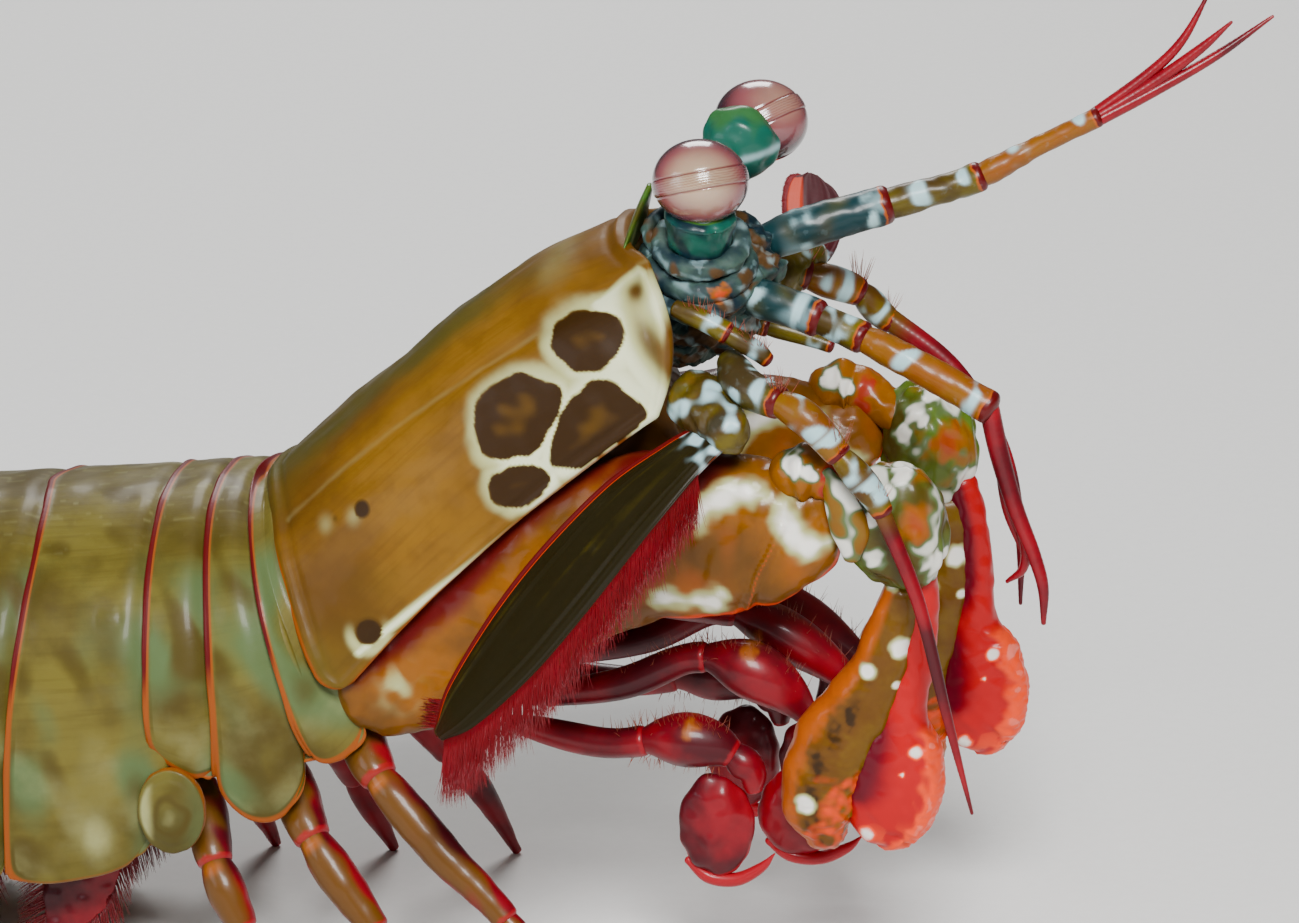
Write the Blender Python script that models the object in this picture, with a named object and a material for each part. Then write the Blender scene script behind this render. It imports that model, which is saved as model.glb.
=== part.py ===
"""Peacock mantis shrimp, life size, standing on its walking legs and tail.

The animal is drawn in its own frame in millimetres: x forward, y to its left, z up from
the floor, with x = 0 just ahead of the carapace's rear edge. ROW_SHIFT carries that
frame to the part's origin, which is the middle of its footprint on the floor.
"""
import math
from collections import namedtuple

import bmesh
import bpy
import numpy as np
from mathutils import Vector

# Driving dimensions, millimetres and degrees
MM = 0.001
ROW_SHIFT = (7.11, -3.97, 0.0)
GAP = 0.35
CARAPACE_LENGTH = 33.3
CARAPACE_PITCH = 37.2
CARAPACE_REAR = (-1.1, 36.1)
CARAPACE_CROWN = 1.6
CARAPACE_WALL = 0.9
REAR_HALF_WIDTH = 14.0
FRONT_HALF_WIDTH = 10.6
ARCH_POWER = 2.15
TELSON_LENGTH = 24.0
TELSON_PITCH = 39.0
TELSON_ROOT = (-61.25, 16.75)
TELSON_HALF_WIDTH = 12.6
EYE_RADII = (3.35, 3.1, 2.95)
EYES = {"r": (31.3, -6.3, 60.6), "l": (33.7, 6.7, 61.6)}
SIDES = {"r": -1.0, "l": 1.0}
PROPODUS_PIVOT = (46.2, 32.6)
PROPODUS_SWING = {"r": 0.0, "l": 12.0}
PROPODUS_SHIFT = {"r": (0.0, 0.0, 0.0), "l": (1.1, 0.0, 0.6)}

# One edge ring of the trunk: the crest's place, the pitch of the trunk there, half width,
# height of the arch above the widest line, and how far the shoulder, flank and tip lead
Edge = namedtuple("Edge", "x z pitch half arch shoulder flank tip")
EDGES = {
    "thorax_6_front": Edge(-1.45, 36.0, 37.2, 13.6, 10.6, 0.2, -1.2, -0.6),
    "thorax_6": Edge(-1.8, 36.0, 12.0, 14.3, 12.0, 1.1, 2.1, 2.5),
    "thorax_7": Edge(-4.2, 35.8, 4.0, 14.5, 12.8, 0.6, 1.1, 0.4),
    "thorax_8": Edge(-8.0, 35.3, 0.0, 14.7, 13.3, 0.5, 1.0, 0.9),
    "abdomen_1": Edge(-17.2, 34.4, 0.0, 14.9, 13.6, 1.0, 0.2, -0.6),
    "abdomen_2": Edge(-27.0, 33.2, 7.0, 15.0, 13.6, 0.6, 0.6, 0.4),
    "abdomen_3": Edge(-36.3, 31.0, 15.0, 15.0, 13.4, 0.5, 0.4, 0.2),
    "abdomen_4": Edge(-45.1, 27.6, 24.0, 14.8, 12.8, 0.4, 0.3, 0.0),
    "abdomen_5": Edge(-53.2, 22.9, 33.0, 14.4, 11.8, 0.3, 0.2, 0.0),
    "abdomen_6": Edge(-60.9, 17.05, 39.0, 13.4, 9.8, 0.2, 0.2, 0.0),
}
# Depth of each somite's side flap below its widest line: front, rear, and extra in between
FLAPS = {
    "thorax_6": (7.0, 5.6, 1.4),
    "thorax_7": (6.2, 5.4, 3.2),
    "thorax_8": (5.2, 2.4, 0.6),
    "abdomen_1": (10.2, 11.4, 1.4),
    "abdomen_2": (11.2, 11.4, 1.4),
    "abdomen_3": (11.0, 10.4, 1.4),
    "abdomen_4": (10.2, 8.4, 1.4),
    "abdomen_5": (8.4, 6.2, 1.4),
    "abdomen_6": (6.2, 3.4, 1.0),
}
# Depth of the flesh below the crest, inside the flaps
BELLY = {
    "thorax_6": 15.0, "thorax_7": 15.5, "thorax_8": 15.8, "abdomen_1": 18.5,
    "abdomen_2": 18.8, "abdomen_3": 18.0, "abdomen_4": 17.0, "abdomen_5": 15.5,
    "abdomen_6": 12.5,
}

# Colours, linear red, green and blue
OLIVE = (0.19, 0.15, 0.05)
MOSS = (0.15, 0.16, 0.08)
TEAL = (0.03, 0.16, 0.16)
CRIMSON = (0.33, 0.01, 0.02)
SCARLET = (0.60, 0.03, 0.02)
AMBER = (0.42, 0.16, 0.03)
MAUVE = (0.48, 0.27, 0.26)

parts = None
guides = None


# Scene, materials and finishing

def empty_scene():
    """Remove what the scene holds and make the two collections."""
    global parts, guides
    for old in list(bpy.data.objects):
        bpy.data.objects.remove(old, do_unlink=True)
    parts = bpy.data.collections.new("mantis_shrimp")
    guides = bpy.data.collections.new("cutters")
    bpy.context.scene.collection.children.link(parts)
    bpy.context.scene.collection.children.link(guides)


def paint(obj, colour, roughness=0.35):
    """Give the object its own Principled material."""
    material = bpy.data.materials.new(obj.name)
    material.use_nodes = True
    shader = material.node_tree.nodes["Principled BSDF"]
    shader.inputs["Base Color"].default_value = (*colour, 1.0)
    shader.inputs["Roughness"].default_value = roughness
    shader.inputs["Metallic"].default_value = 0.0
    obj.data.materials.clear()
    obj.data.materials.append(material)


def place(point):
    """Turn a point of the animal's frame, in mm, into metres in the part's frame."""
    return Vector([(c + s) * MM for c, s in zip(point, ROW_SHIFT)])


def finish(name, bm, collection=None):
    """Weld, turn outwards and shade a mesh, and link it as an object."""
    bmesh.ops.remove_doubles(bm, verts=bm.verts, dist=1e-6)
    bmesh.ops.dissolve_degenerate(bm, edges=bm.edges, dist=1e-7)
    bmesh.ops.recalc_face_normals(bm, faces=bm.faces)
    mesh = bpy.data.meshes.new(name)
    bm.to_mesh(mesh)
    bm.free()
    mesh.shade_smooth()
    mesh.set_sharp_from_angle(angle=math.radians(50))
    obj = bpy.data.objects.new(name, mesh)
    (collection or parts).objects.link(obj)
    return obj


# Curves through points

def spline(rows, count):
    """Catmull-Rom curve through the rows, every column of them, as count rows."""
    rows = np.asarray(rows, float)
    ends = np.vstack([2 * rows[0] - rows[1], rows, 2 * rows[-1] - rows[-2]])
    t = np.linspace(0, len(rows) - 1 - 1e-9, count)
    i = t.astype(int)
    f = (t - i)[:, None]
    a, b, c, d = ends[i], ends[i + 1], ends[i + 2], ends[i + 3]
    return 0.5 * (2 * b + (c - a) * f + (2 * a - 5 * b + 4 * c - d) * f ** 2
                  + (3 * b - a - 3 * c + d) * f ** 3)


def mirrored(rows, side):
    """Rows drawn for the right side, moved to the side asked for."""
    rows = np.array(rows, float)
    if side == "l":
        rows[:, 1] *= -1
    return rows


def swing(rows, pivot, degrees):
    """Turn rows about the y axis through the pivot, so that what hangs goes forward."""
    rows = np.array(rows, float)
    a = math.radians(degrees)
    x, z = rows[:, 0] - pivot[0], rows[:, 2] - pivot[1]
    rows[:, 0] = pivot[0] + x * math.cos(a) - z * math.sin(a)
    rows[:, 2] = pivot[1] + x * math.sin(a) + z * math.cos(a)
    return rows


# Builders

def loft(name, rings, collection=None):
    """Closed skin over equal rings, with a face across each end; nothing goes below z = 0."""
    bm = bmesh.new()
    loops = [[bm.verts.new(place((x, y, max(z, 0.0)))) for x, y, z in ring] for ring in rings]
    count = len(loops[0])
    for low, high in zip(loops, loops[1:]):
        for i in range(count):
            j = (i + 1) % count
            bm.faces.new((low[i], low[j], high[j], high[i]))
    bm.faces.new(loops[0])
    bm.faces.new(loops[-1])
    bmesh.ops.triangulate(bm, faces=[f for f in bm.faces if len(f.verts) > 4])
    return finish(name, bm, collection)


def arched(name, stations):
    """Closed body from stations of an outer and an inner arc with equal point counts."""
    bm = bmesh.new()
    outer = [[bm.verts.new(place(p)) for p in arcs[0]] for arcs in stations]
    inner = [[bm.verts.new(place(p)) for p in arcs[1]] for arcs in stations]
    last = len(outer[0]) - 1
    for k in range(len(stations) - 1):
        for i in range(last):
            bm.faces.new((outer[k][i], outer[k][i + 1], outer[k + 1][i + 1], outer[k + 1][i]))
            bm.faces.new((inner[k][i + 1], inner[k][i], inner[k + 1][i], inner[k + 1][i + 1]))
        for i in (0, last):
            bm.faces.new((outer[k][i], inner[k][i], inner[k + 1][i], outer[k + 1][i]))
    for k in (0, -1):
        for i in range(last):
            bm.faces.new((outer[k][i], outer[k][i + 1], inner[k][i + 1], inner[k][i]))
    return finish(name, bm)


def blade(name, rows, flat, count=8, sides=10, collection=None):
    """Flattened limb: rows of x, y, z, half width and half thickness along its middle.

    Each ring is an ellipse; its thickness lies along the flat vector, as near as the
    path allows, and its width across both.
    """
    rows = spline(rows, count)
    path = rows[:, :3]
    along = np.gradient(path, axis=0)
    along /= np.linalg.norm(along, axis=1)[:, None]
    across = np.cross(along, np.asarray(flat, float))
    across /= np.linalg.norm(across, axis=1)[:, None]
    through = np.cross(across, along)
    turn = np.linspace(0, 2 * math.pi, sides, endpoint=False)
    rings = [p + a * w * np.cos(turn)[:, None] + t * h * np.sin(turn)[:, None]
             for p, a, t, w, h in zip(path, across, through, rows[:, 3], rows[:, 4])]
    return loft(name, rings, collection)


def tube(name, rows, count, resolution=2, collection=None):
    """Round limb from a curve: rows of x, y, z and radius, with filled ends.

    Points below the floor are brought up to it, which leaves a small flat there.
    """
    rows = spline(rows, count)
    curve = bpy.data.curves.new(name, "CURVE")
    curve.dimensions = "3D"
    curve.bevel_depth = MM
    curve.bevel_resolution = resolution
    curve.use_fill_caps = True
    line = curve.splines.new("POLY")
    line.points.add(count - 1)
    for point, row in zip(line.points, rows):
        point.co = (*place(row[:3]), 1.0)
        point.radius = row[3]
    drawn = bpy.data.objects.new(name + "_curve", curve)
    parts.objects.link(drawn)
    graph = bpy.context.evaluated_depsgraph_get()
    mesh = bpy.data.meshes.new_from_object(drawn.evaluated_get(graph))
    bpy.data.objects.remove(drawn, do_unlink=True)
    bpy.data.curves.remove(curve)
    bm = bmesh.new()
    bm.from_mesh(mesh)
    bpy.data.meshes.remove(mesh)
    for vert in bm.verts:
        vert.co.z = max(vert.co.z, 0.0)
    return finish(name, bm, collection)


def ball(name, centre, radii, lean=0.0, segments=12, rings=8, collection=None):
    """Ellipsoid from a UV sphere, leaning forward about y by lean degrees."""
    bm = bmesh.new()
    bmesh.ops.create_uvsphere(bm, u_segments=segments, v_segments=rings, radius=1.0)
    a = math.radians(lean)
    middle = place(centre)
    for vert in bm.verts:
        x, y, z = (c * r * MM for c, r in zip(vert.co, radii))
        vert.co = middle + Vector((x * math.cos(a) + z * math.sin(a), y,
                                   z * math.cos(a) - x * math.sin(a)))
    return finish(name, bm, collection)


def union(base, other):
    """Boolean union of the base with another object, which becomes a guide."""
    modifier = base.modifiers.new("join_" + other.name, "BOOLEAN")
    modifier.operation = "UNION"
    modifier.solver = "EXACT"
    modifier.object = other
    retire(other)


def retire(obj):
    """Keep an operand out of the model."""
    for home in list(obj.users_collection):
        home.objects.unlink(obj)
    guides.objects.link(obj)
    obj.hide_render = True
    obj.display_type = "WIRE"


def keep_clear(piece, neighbour, gap=GAP):
    """Cut the piece back from a neighbour's surface, leaving a gap."""
    graph = bpy.context.evaluated_depsgraph_get()
    graph.update()
    bm = bmesh.new()
    bm.from_mesh(neighbour.evaluated_get(graph).data)
    bm.normal_update()
    for vert in bm.verts:
        vert.co += vert.normal * gap * MM * vert.calc_shell_factor()
    cutter = finish("clear_" + piece.name + "_" + neighbour.name, bm)
    retire(cutter)
    modifier = piece.modifiers.new(cutter.name, "BOOLEAN")
    modifier.operation = "DIFFERENCE"
    modifier.solver = "EXACT"
    modifier.object = cutter


# Trunk

def arch(u, half, height, power=ARCH_POWER):
    """Half width and depth on a superellipse; u runs from the crest, 0, to the flank, 1."""
    turn = u * math.pi / 2
    side = half * np.sin(turn) ** (2 / power)
    depth = height * (1 - np.cos(turn) ** (2 / power))
    return side, depth


def lead(u, edge):
    """Forward lead of an edge: a smooth curve through its shoulder, flank and tip values."""
    knots = np.array([0.0, 0.4, 0.75, 1.0])
    values = (0.0, edge.shoulder, edge.flank, edge.tip)
    total = np.zeros_like(u)
    for k, value in enumerate(values):
        others = np.delete(knots, k)
        total += value * np.prod([(u - o) / (knots[k] - o) for o in others], axis=0)
    return total


def edge_points(edge, flap, u):
    """Points on an edge ring; u is signed, and past 0.75 it runs down the side flap."""
    size = np.abs(u)
    side, depth = arch(np.minimum(size / 0.75, 1.0), edge.half, edge.arch)
    down = np.clip((size - 0.75) / 0.25, 0, 1)
    side = side - 0.9 * down ** 2
    depth = depth + flap * down
    return frame_points(edge, lead(size, edge), np.sign(u) * side, depth)


def frame_points(edge, ahead, side, depth):
    """Points ahead, aside and below the crest of an edge, in the frame leaning with it."""
    a = math.radians(edge.pitch)
    x = edge.x + ahead * math.cos(a) + depth * math.sin(a)
    z = edge.z + ahead * math.sin(a) - depth * math.cos(a)
    return np.stack([x, side, z], axis=-1)


def belly_points(edge, flap, belly, u):
    """Inner contour: flat flesh under the crest, then down the inside of each flap."""
    size = np.abs(u)
    down = np.clip((size - 0.62) / 0.38, 0, 1)
    level = np.clip(size / 0.62, 0, 1)
    side = (edge.half - 3.4) * level + 1.7 * down
    tip = edge.arch + flap
    depth = belly + (tip - 0.15 - belly) * down ** 1.5
    return frame_points(edge, lead(size, edge), np.sign(u) * side, depth)


def somite(name, front, rear):
    """One trunk segment between two edges, with its crown, flaps and flesh."""
    u = np.linspace(-1, 1, 15)
    flap_front, flap_rear, flap_extra = FLAPS[name]
    a = math.radians(front.pitch)
    back = np.array([-math.cos(a), 0.0, -math.sin(a)]) * GAP
    stations = []
    for s in (0.0, 0.22, 0.78, 1.0):
        flap = flap_front * (1 - s) + flap_rear * s + flap_extra * math.sin(math.pi * s) ** 0.6
        crown = 1 + 0.02 * math.sin(math.pi * s)
        arcs = []
        for points in (edge_points, belly_points):
            extra = () if points is edge_points else (BELLY[name],)
            ring_front = points(front, flap, *extra, u) + back
            ring_rear = points(rear, flap, *extra, u)
            ring = ring_front * (1 - s) + ring_rear * s
            if points is edge_points:
                ring[:, 1] *= crown
            arcs.append(ring)
        stations.append(arcs)
    return arched(name, stations)


def carapace_point(ahead, side, depth):
    """Point in the carapace's own frame, whose chord runs along its back."""
    a = math.radians(CARAPACE_PITCH)
    x = CARAPACE_REAR[0] + ahead * math.cos(a) + depth * math.sin(a)
    z = CARAPACE_REAR[1] + ahead * math.sin(a) - depth * math.cos(a)
    return np.stack([x, side, z], axis=-1)


def carapace_crown(ahead):
    """Rise of the back above its chord."""
    t = np.clip(ahead / CARAPACE_LENGTH, 0, 1)
    return CARAPACE_CROWN * np.sin(math.pi * t ** 1.6)


def carapace_half(ahead):
    """Half width along the carapace, narrowing to the front."""
    t = np.clip(ahead / CARAPACE_LENGTH, 0, 1)
    return REAR_HALF_WIDTH - (REAR_HALF_WIDTH - FRONT_HALF_WIDTH) * t ** 1.1


def carapace_depth(ahead):
    """Depth of the lower margin under the chord, along the carapace."""
    t = np.clip(ahead / CARAPACE_LENGTH, -0.05, 1)
    return 14.25 - 8.0 * t + 5.2 * t ** 2


def carapace_ends(u):
    """Where the carapace starts and ends along its length, from crest 0 to margin 1."""
    rear = 0.4 + 10.0 * u ** 2 / (u + 0.12) - 20.0 * u ** 2 + 9.0 * u ** 3
    front = CARAPACE_LENGTH + 0.5 + 1.3 * u ** 2 - 5.2 * u ** 5 - 0.6 * u ** 20
    return rear, front


def carapace_surface(s, u, inset):
    """Carapace skin: s from rear to front, u signed from crest to margin, inset inwards."""
    size = np.abs(u)
    rear, front = carapace_ends(size)
    ahead = rear + (front - rear) * s
    side, fall = arch(size, carapace_half(ahead) - inset, carapace_depth(ahead) - inset * 0.3)
    depth = fall + inset * (1 - size) - carapace_crown(ahead) * (1 - size ** 2)
    return carapace_point(ahead, np.sign(u) * side, depth)


def make_trunk():
    """Carapace, the flesh under it, nine free segments and the telson."""
    u = np.linspace(-1, 1, 19)
    stations = [[carapace_surface(s, u, inset) for inset in (0.0, CARAPACE_WALL)]
                for s in (0.0, 0.2, 0.45, 0.7, 0.88, 1.0)]
    paint(arched("carapace", stations), OLIVE)
    paint(make_core(), MOSS, 0.5)
    names = list(FLAPS)
    fronts = ["thorax_6_front"] + names[:-1]
    for name, front in zip(names, fronts):
        paint(somite(name, EDGES[front], EDGES[name]), MOSS)
    add_hip_plates(bpy.data.objects["abdomen_1"])
    paint(make_telson(), TEAL)


def make_core():
    """Flesh of the front thorax: broad under the carapace, a narrow keel below it."""
    turn = np.linspace(0, 1, 7)
    rings = []
    for ahead in (1.2, 7.0, 14.0, 21.0, 26.0):
        half = carapace_half(ahead) - CARAPACE_WALL - GAP - 0.9
        side, fall = arch(turn, half, 7.6)
        keel_side = np.array([6.3, 5.4, 4.6, 3.0, 0.0])
        keel_depth = np.array([9.2, 12.0, 15.2, 16.3, 16.6])
        sides = np.concatenate([side, keel_side])
        depths = np.concatenate([fall + CARAPACE_WALL + GAP + 0.55
                                 - 0.9 * carapace_crown(ahead) * (1 - turn ** 2), keel_depth])
        ring = carapace_point(np.full(len(sides), ahead), sides, depths)
        other = ring[-2:0:-1] * (1, -1, 1)
        rings.append(np.vstack([ring, other]))
    return loft("thorax_front", rings)


def add_hip_plates(base):
    """Small round plates hinged to the first abdominal segment's front corners."""
    for side, sign in SIDES.items():
        plate = ball("hip_plate_" + side, (-6.4, sign * 14.0, 14.2), (3.9, 0.9, 3.3),
                     segments=10, rings=6)
        union(base, plate)


def make_telson():
    """Tail plate: ridged, toothed round its end, thinning to the tip on the floor."""
    teeth = [(0.0, 0.93), (0.14, 1.0), (0.26, 1.0), (0.38, 0.87), (0.52, 0.88),
             (0.62, 0.88), (0.76, 0.70), (0.90, 0.68), (1.0, 0.50)]
    half = [t[0] for t in teeth]
    reach = [t[1] for t in teeth]
    v = np.array([-h for h in half[:0:-1]] + half)
    end = np.array(reach[:0:-1] + reach)
    root = Edge(*TELSON_ROOT, TELSON_PITCH, 0, 0, 0, 0, 0)
    stations = []
    for s in (0.0, 0.25, 0.5, 0.75, 1.0):
        t = s * end
        width = TELSON_HALF_WIDTH * (1 - 0.10 * t)
        side = width * v
        fall = (6.2 * (1 - t) ** 1.2 + 1.2) * np.abs(v) ** 2.4
        ridge = 0.7 * np.exp(-(v / 0.09) ** 2) * (1 - t)
        thick = 3.4 - 2.2 * t
        top = frame_points(root, -t * TELSON_LENGTH, side, fall - ridge)
        low = frame_points(root, -t * TELSON_LENGTH, side * 0.985, fall + thick)
        top[:, 2] = np.maximum(top[:, 2], 0.6)
        low[:, 2] = np.maximum(low[:, 2], 0.0)
        stations.append([top, low])
    return arched("telson", stations)


# Head, eyes and feelers

def make_head():
    """Head block, rostral plate, eyes on their stalks."""
    head = ball("head", (30.3, 0.0, 50.6), (6.2, 5.9, 4.4), lean=-CARAPACE_PITCH)
    paint(head, TEAL, 0.5)
    rostral = [(27.0, 0, 55.1, 4.5, 0.3), (27.3, 0, 56.2, 4.2, 0.3),
               (27.7, 0, 57.5, 2.8, 0.3), (28.1, 0, 58.7, 0.6, 0.3)]
    plate = blade("rostral_plate", rostral, (0.95, 0.0, -0.31), count=5)
    paint(plate, TEAL)
    stalks = {
        "r": [(31.1, -3.0, 52.6, 1.9), (31.1, -4.6, 55.4, 2.2), (31.2, -6.0, 57.9, 2.9)],
        "l": [(30.4, 3.2, 52.8, 1.8), (31.0, 4.4, 56.2, 2.0), (32.0, 5.9, 60.0, 2.9)],
    }
    for side in SIDES:
        stem = tube("eyestalk_" + side, stalks[side], 5, 3)
        paint(stem, TEAL)
        cornea = ball("eye_" + side, EYES[side], EYE_RADII)
        paint(cornea, MAUVE, 0.1)
        keep_clear(stem, cornea)
        keep_clear(stem, head)


def make_antennules():
    """First feelers: three thick joints, then thin red whips."""
    right = [(32.6, -3.0, 52.0, 1.35), (35.8, -3.6, 51.4, 1.4), (39.0, -4.2, 50.6, 1.25),
             (41.5, -4.7, 49.8, 1.1), (44.1, -5.2, 48.8, 1.1), (48.0, -5.9, 47.1, 1.15),
             (51.6, -6.5, 45.3, 1.1), (52.4, -6.6, 42.0, 0.7), (53.6, -6.8, 38.2, 0.6),
             (55.0, -7.0, 34.8, 0.5), (55.7, -7.2, 32.5, 0.4), (55.8, -7.4, 30.0, 0.3)]
    curl = [(53.5, -6.8, 38.6, 0.4), (54.3, -6.2, 35.2, 0.4), (54.1, -5.7, 33.3, 0.35),
            (53.0, -5.3, 32.2, 0.28)]
    inner = [(52.3, -6.5, 42.6, 0.4), (52.9, -5.9, 38.0, 0.38), (54.0, -5.6, 34.6, 0.3)]
    left = [(34.2, 2.6, 53.7, 1.4), (37.8, 3.3, 55.0, 1.5), (42.5, 4.5, 56.3, 1.3),
            (45.8, 5.3, 57.2, 1.05), (49.2, 6.0, 58.1, 1.05), (53.3, 6.8, 60.2, 0.8),
            (57.5, 7.5, 62.5, 0.75), (61.6, 8.5, 65.6, 0.6), (64.4, 9.1, 67.7, 0.42),
            (66.4, 9.5, 69.6, 0.28)]
    lower = [(61.0, 8.3, 65.1, 0.4), (65.6, 9.7, 67.2, 0.38), (69.4, 10.8, 69.9, 0.28)]
    upper = [(61.0, 8.3, 65.2, 0.4), (63.0, 9.3, 68.2, 0.36), (64.9, 10.2, 71.6, 0.28)]
    for side, main, whips in (("r", right, (curl, inner)), ("l", left, (lower, upper))):
        stem = tube("antennule_" + side, main, 15)
        for k, whip in enumerate(whips):
            union(stem, tube(f"antennule_{side}_whip_{k}", whip, 4, 1))
        paint(stem, AMBER)
        keep_clear(stem, bpy.data.objects["head"])
        keep_clear(stem, bpy.data.objects["eyestalk_" + side])


def make_antennae():
    """Second feelers with their broad scales, beside the head."""
    arms = {
        "r": [(33.6, -7.2, 47.9, 1.3), (35.2, -10.6, 47.2, 1.3), (39.3, -13.0, 46.2, 1.15),
              (42.0, -13.4, 43.6, 1.0), (44.2, -13.5, 41.1, 0.95), (45.1, -13.5, 39.6, 0.6),
              (47.7, -13.7, 33.2, 0.5), (49.7, -14.0, 25.6, 0.4), (51.7, -14.2, 18.1, 0.28)],
        "l": [(33.2, 6.6, 49.2, 1.3), (35.0, 9.6, 49.7, 1.3), (37.6, 10.5, 49.0, 1.2),
              (40.2, 11.4, 47.9, 1.1), (41.6, 11.8, 46.4, 1.0), (47.3, 11.2, 42.4, 0.7),
              (51.0, 10.2, 37.0, 0.5), (52.4, 9.4, 31.0, 0.4), (52.6, 9.0, 25.6, 0.28)],
    }
    scales = {
        "r": [(33.6, -12.2, 43.8, 1.1, 0.6), (31.6, -13.2, 42.0, 2.6, 0.5),
              (28.4, -14.9, 38.9, 4.4, 0.45), (24.1, -16.2, 33.7, 5.0, 0.4),
              (20.3, -17.0, 29.0, 4.4, 0.4), (16.8, -17.4, 25.0, 2.6, 0.4),
              (15.0, -17.5, 23.0, 0.7, 0.35)],
        "l": [(36.8, 12.4, 50.2, 1.1, 0.6), (36.6, 14.2, 50.2, 2.6, 0.5),
              (36.0, 18.6, 50.0, 4.2, 0.45), (35.2, 24.4, 49.7, 4.8, 0.4),
              (34.4, 29.8, 49.2, 4.2, 0.4), (33.6, 34.2, 48.8, 2.6, 0.4),
              (33.2, 36.4, 48.6, 0.7, 0.35)],
    }
    flats = {"r": (-0.42, -0.55, 0.72), "l": (0.92, 0.1, 0.38)}
    knobs = {
        "r": ((31.6, -9.2, 45.6), (34.3, -12.6, 44.6)),
        "l": ((33.4, 8.6, 49.2), (36.4, 11.8, 50.2)),
    }
    head = bpy.data.objects["head"]
    for side in SIDES:
        arm = tube("antenna_" + side, arms[side], 12)
        near, far = knobs[side]
        link = [(*near, 2.2), (*(np.add(near, far) / 2), 1.9), (*far, 1.5)]
        union(arm, tube("antenna_base_" + side, link, 5))
        paint(arm, AMBER)
        scale = blade("antennal_scale_" + side, scales[side], flats[side], count=9)
        paint(scale, OLIVE)
        bpy.context.view_layer.update()
        keep_clear(arm, head)
        keep_clear(scale, arm)


# Claws and mouth limbs

def make_claws():
    """Raptorial claws: arm, wrist, shaft and the folded hammer."""
    merus = [(7.4, -8.7, 23.6, 2.6, 1.8), (10.4, -8.8, 24.7, 4.5, 2.3), (15.4, -9.0, 28.3, 5.3, 2.5),
             (21.6, -9.1, 32.4, 5.7, 2.6), (28.2, -9.3, 35.6, 6.1, 2.9), (34.4, -9.5, 36.2, 5.8, 3.1),
             (38.6, -9.5, 37.0, 4.3, 2.9), (40.7, -9.5, 38.0, 2.6, 2.0)]
    shaft = [(46.1, -9.3, 32.2, 1.5, 1.5), (45.4, -9.2, 29.6, 1.8, 1.8), (44.4, -9.1, 26.4, 2.1, 2.0),
             (43.0, -9.0, 23.6, 2.6, 2.1), (41.4, -9.0, 20.8, 2.9, 2.2), (40.5, -9.0, 18.0, 2.85, 2.2),
             (40.4, -9.0, 15.6, 2.5, 2.0), (40.8, -9.0, 14.0, 1.4, 1.4)]
    hammer = [(48.5, -9.1, 31.4, 0.4, 0.4), (48.3, -9.1, 28.6, 0.6, 0.7), (47.9, -9.0, 25.4, 0.85, 0.9),
              (47.5, -9.0, 22.8, 1.1, 1.3), (47.1, -9.0, 20.2, 1.95, 2.0), (46.8, -9.0, 17.8, 2.2, 2.3),
              (46.0, -9.0, 15.4, 2.0, 2.1), (44.7, -9.0, 13.6, 1.0, 1.2)]
    flat = (0.0, 1.0, 0.0)
    for side, sign in SIDES.items():
        turn = PROPODUS_SWING[side]
        shift = np.array([*PROPODUS_SHIFT[side], 0.0, 0.0])
        arm = blade("claw_merus_" + side, mirrored(merus, side), flat, count=10, sides=12)
        wrist = ball("claw_carpus_" + side, (45.8, sign * 9.3, 37.3), (3.8, 3.1, 5.0), lean=-12)
        rod = blade("claw_propodus_" + side,
                    swing(mirrored(shaft, side), PROPODUS_PIVOT, turn) + shift, flat, sides=8)
        club = blade("claw_dactyl_" + side,
                     swing(mirrored(hammer, side), PROPODUS_PIVOT, turn) + shift, flat, count=9,
                     sides=8)
        paint(arm, AMBER)
        paint(wrist, OLIVE)
        paint(rod, OLIVE)
        paint(club, SCARLET)
        keep_clear(arm, wrist)
        keep_clear(rod, wrist)
        keep_clear(club, rod)


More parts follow.
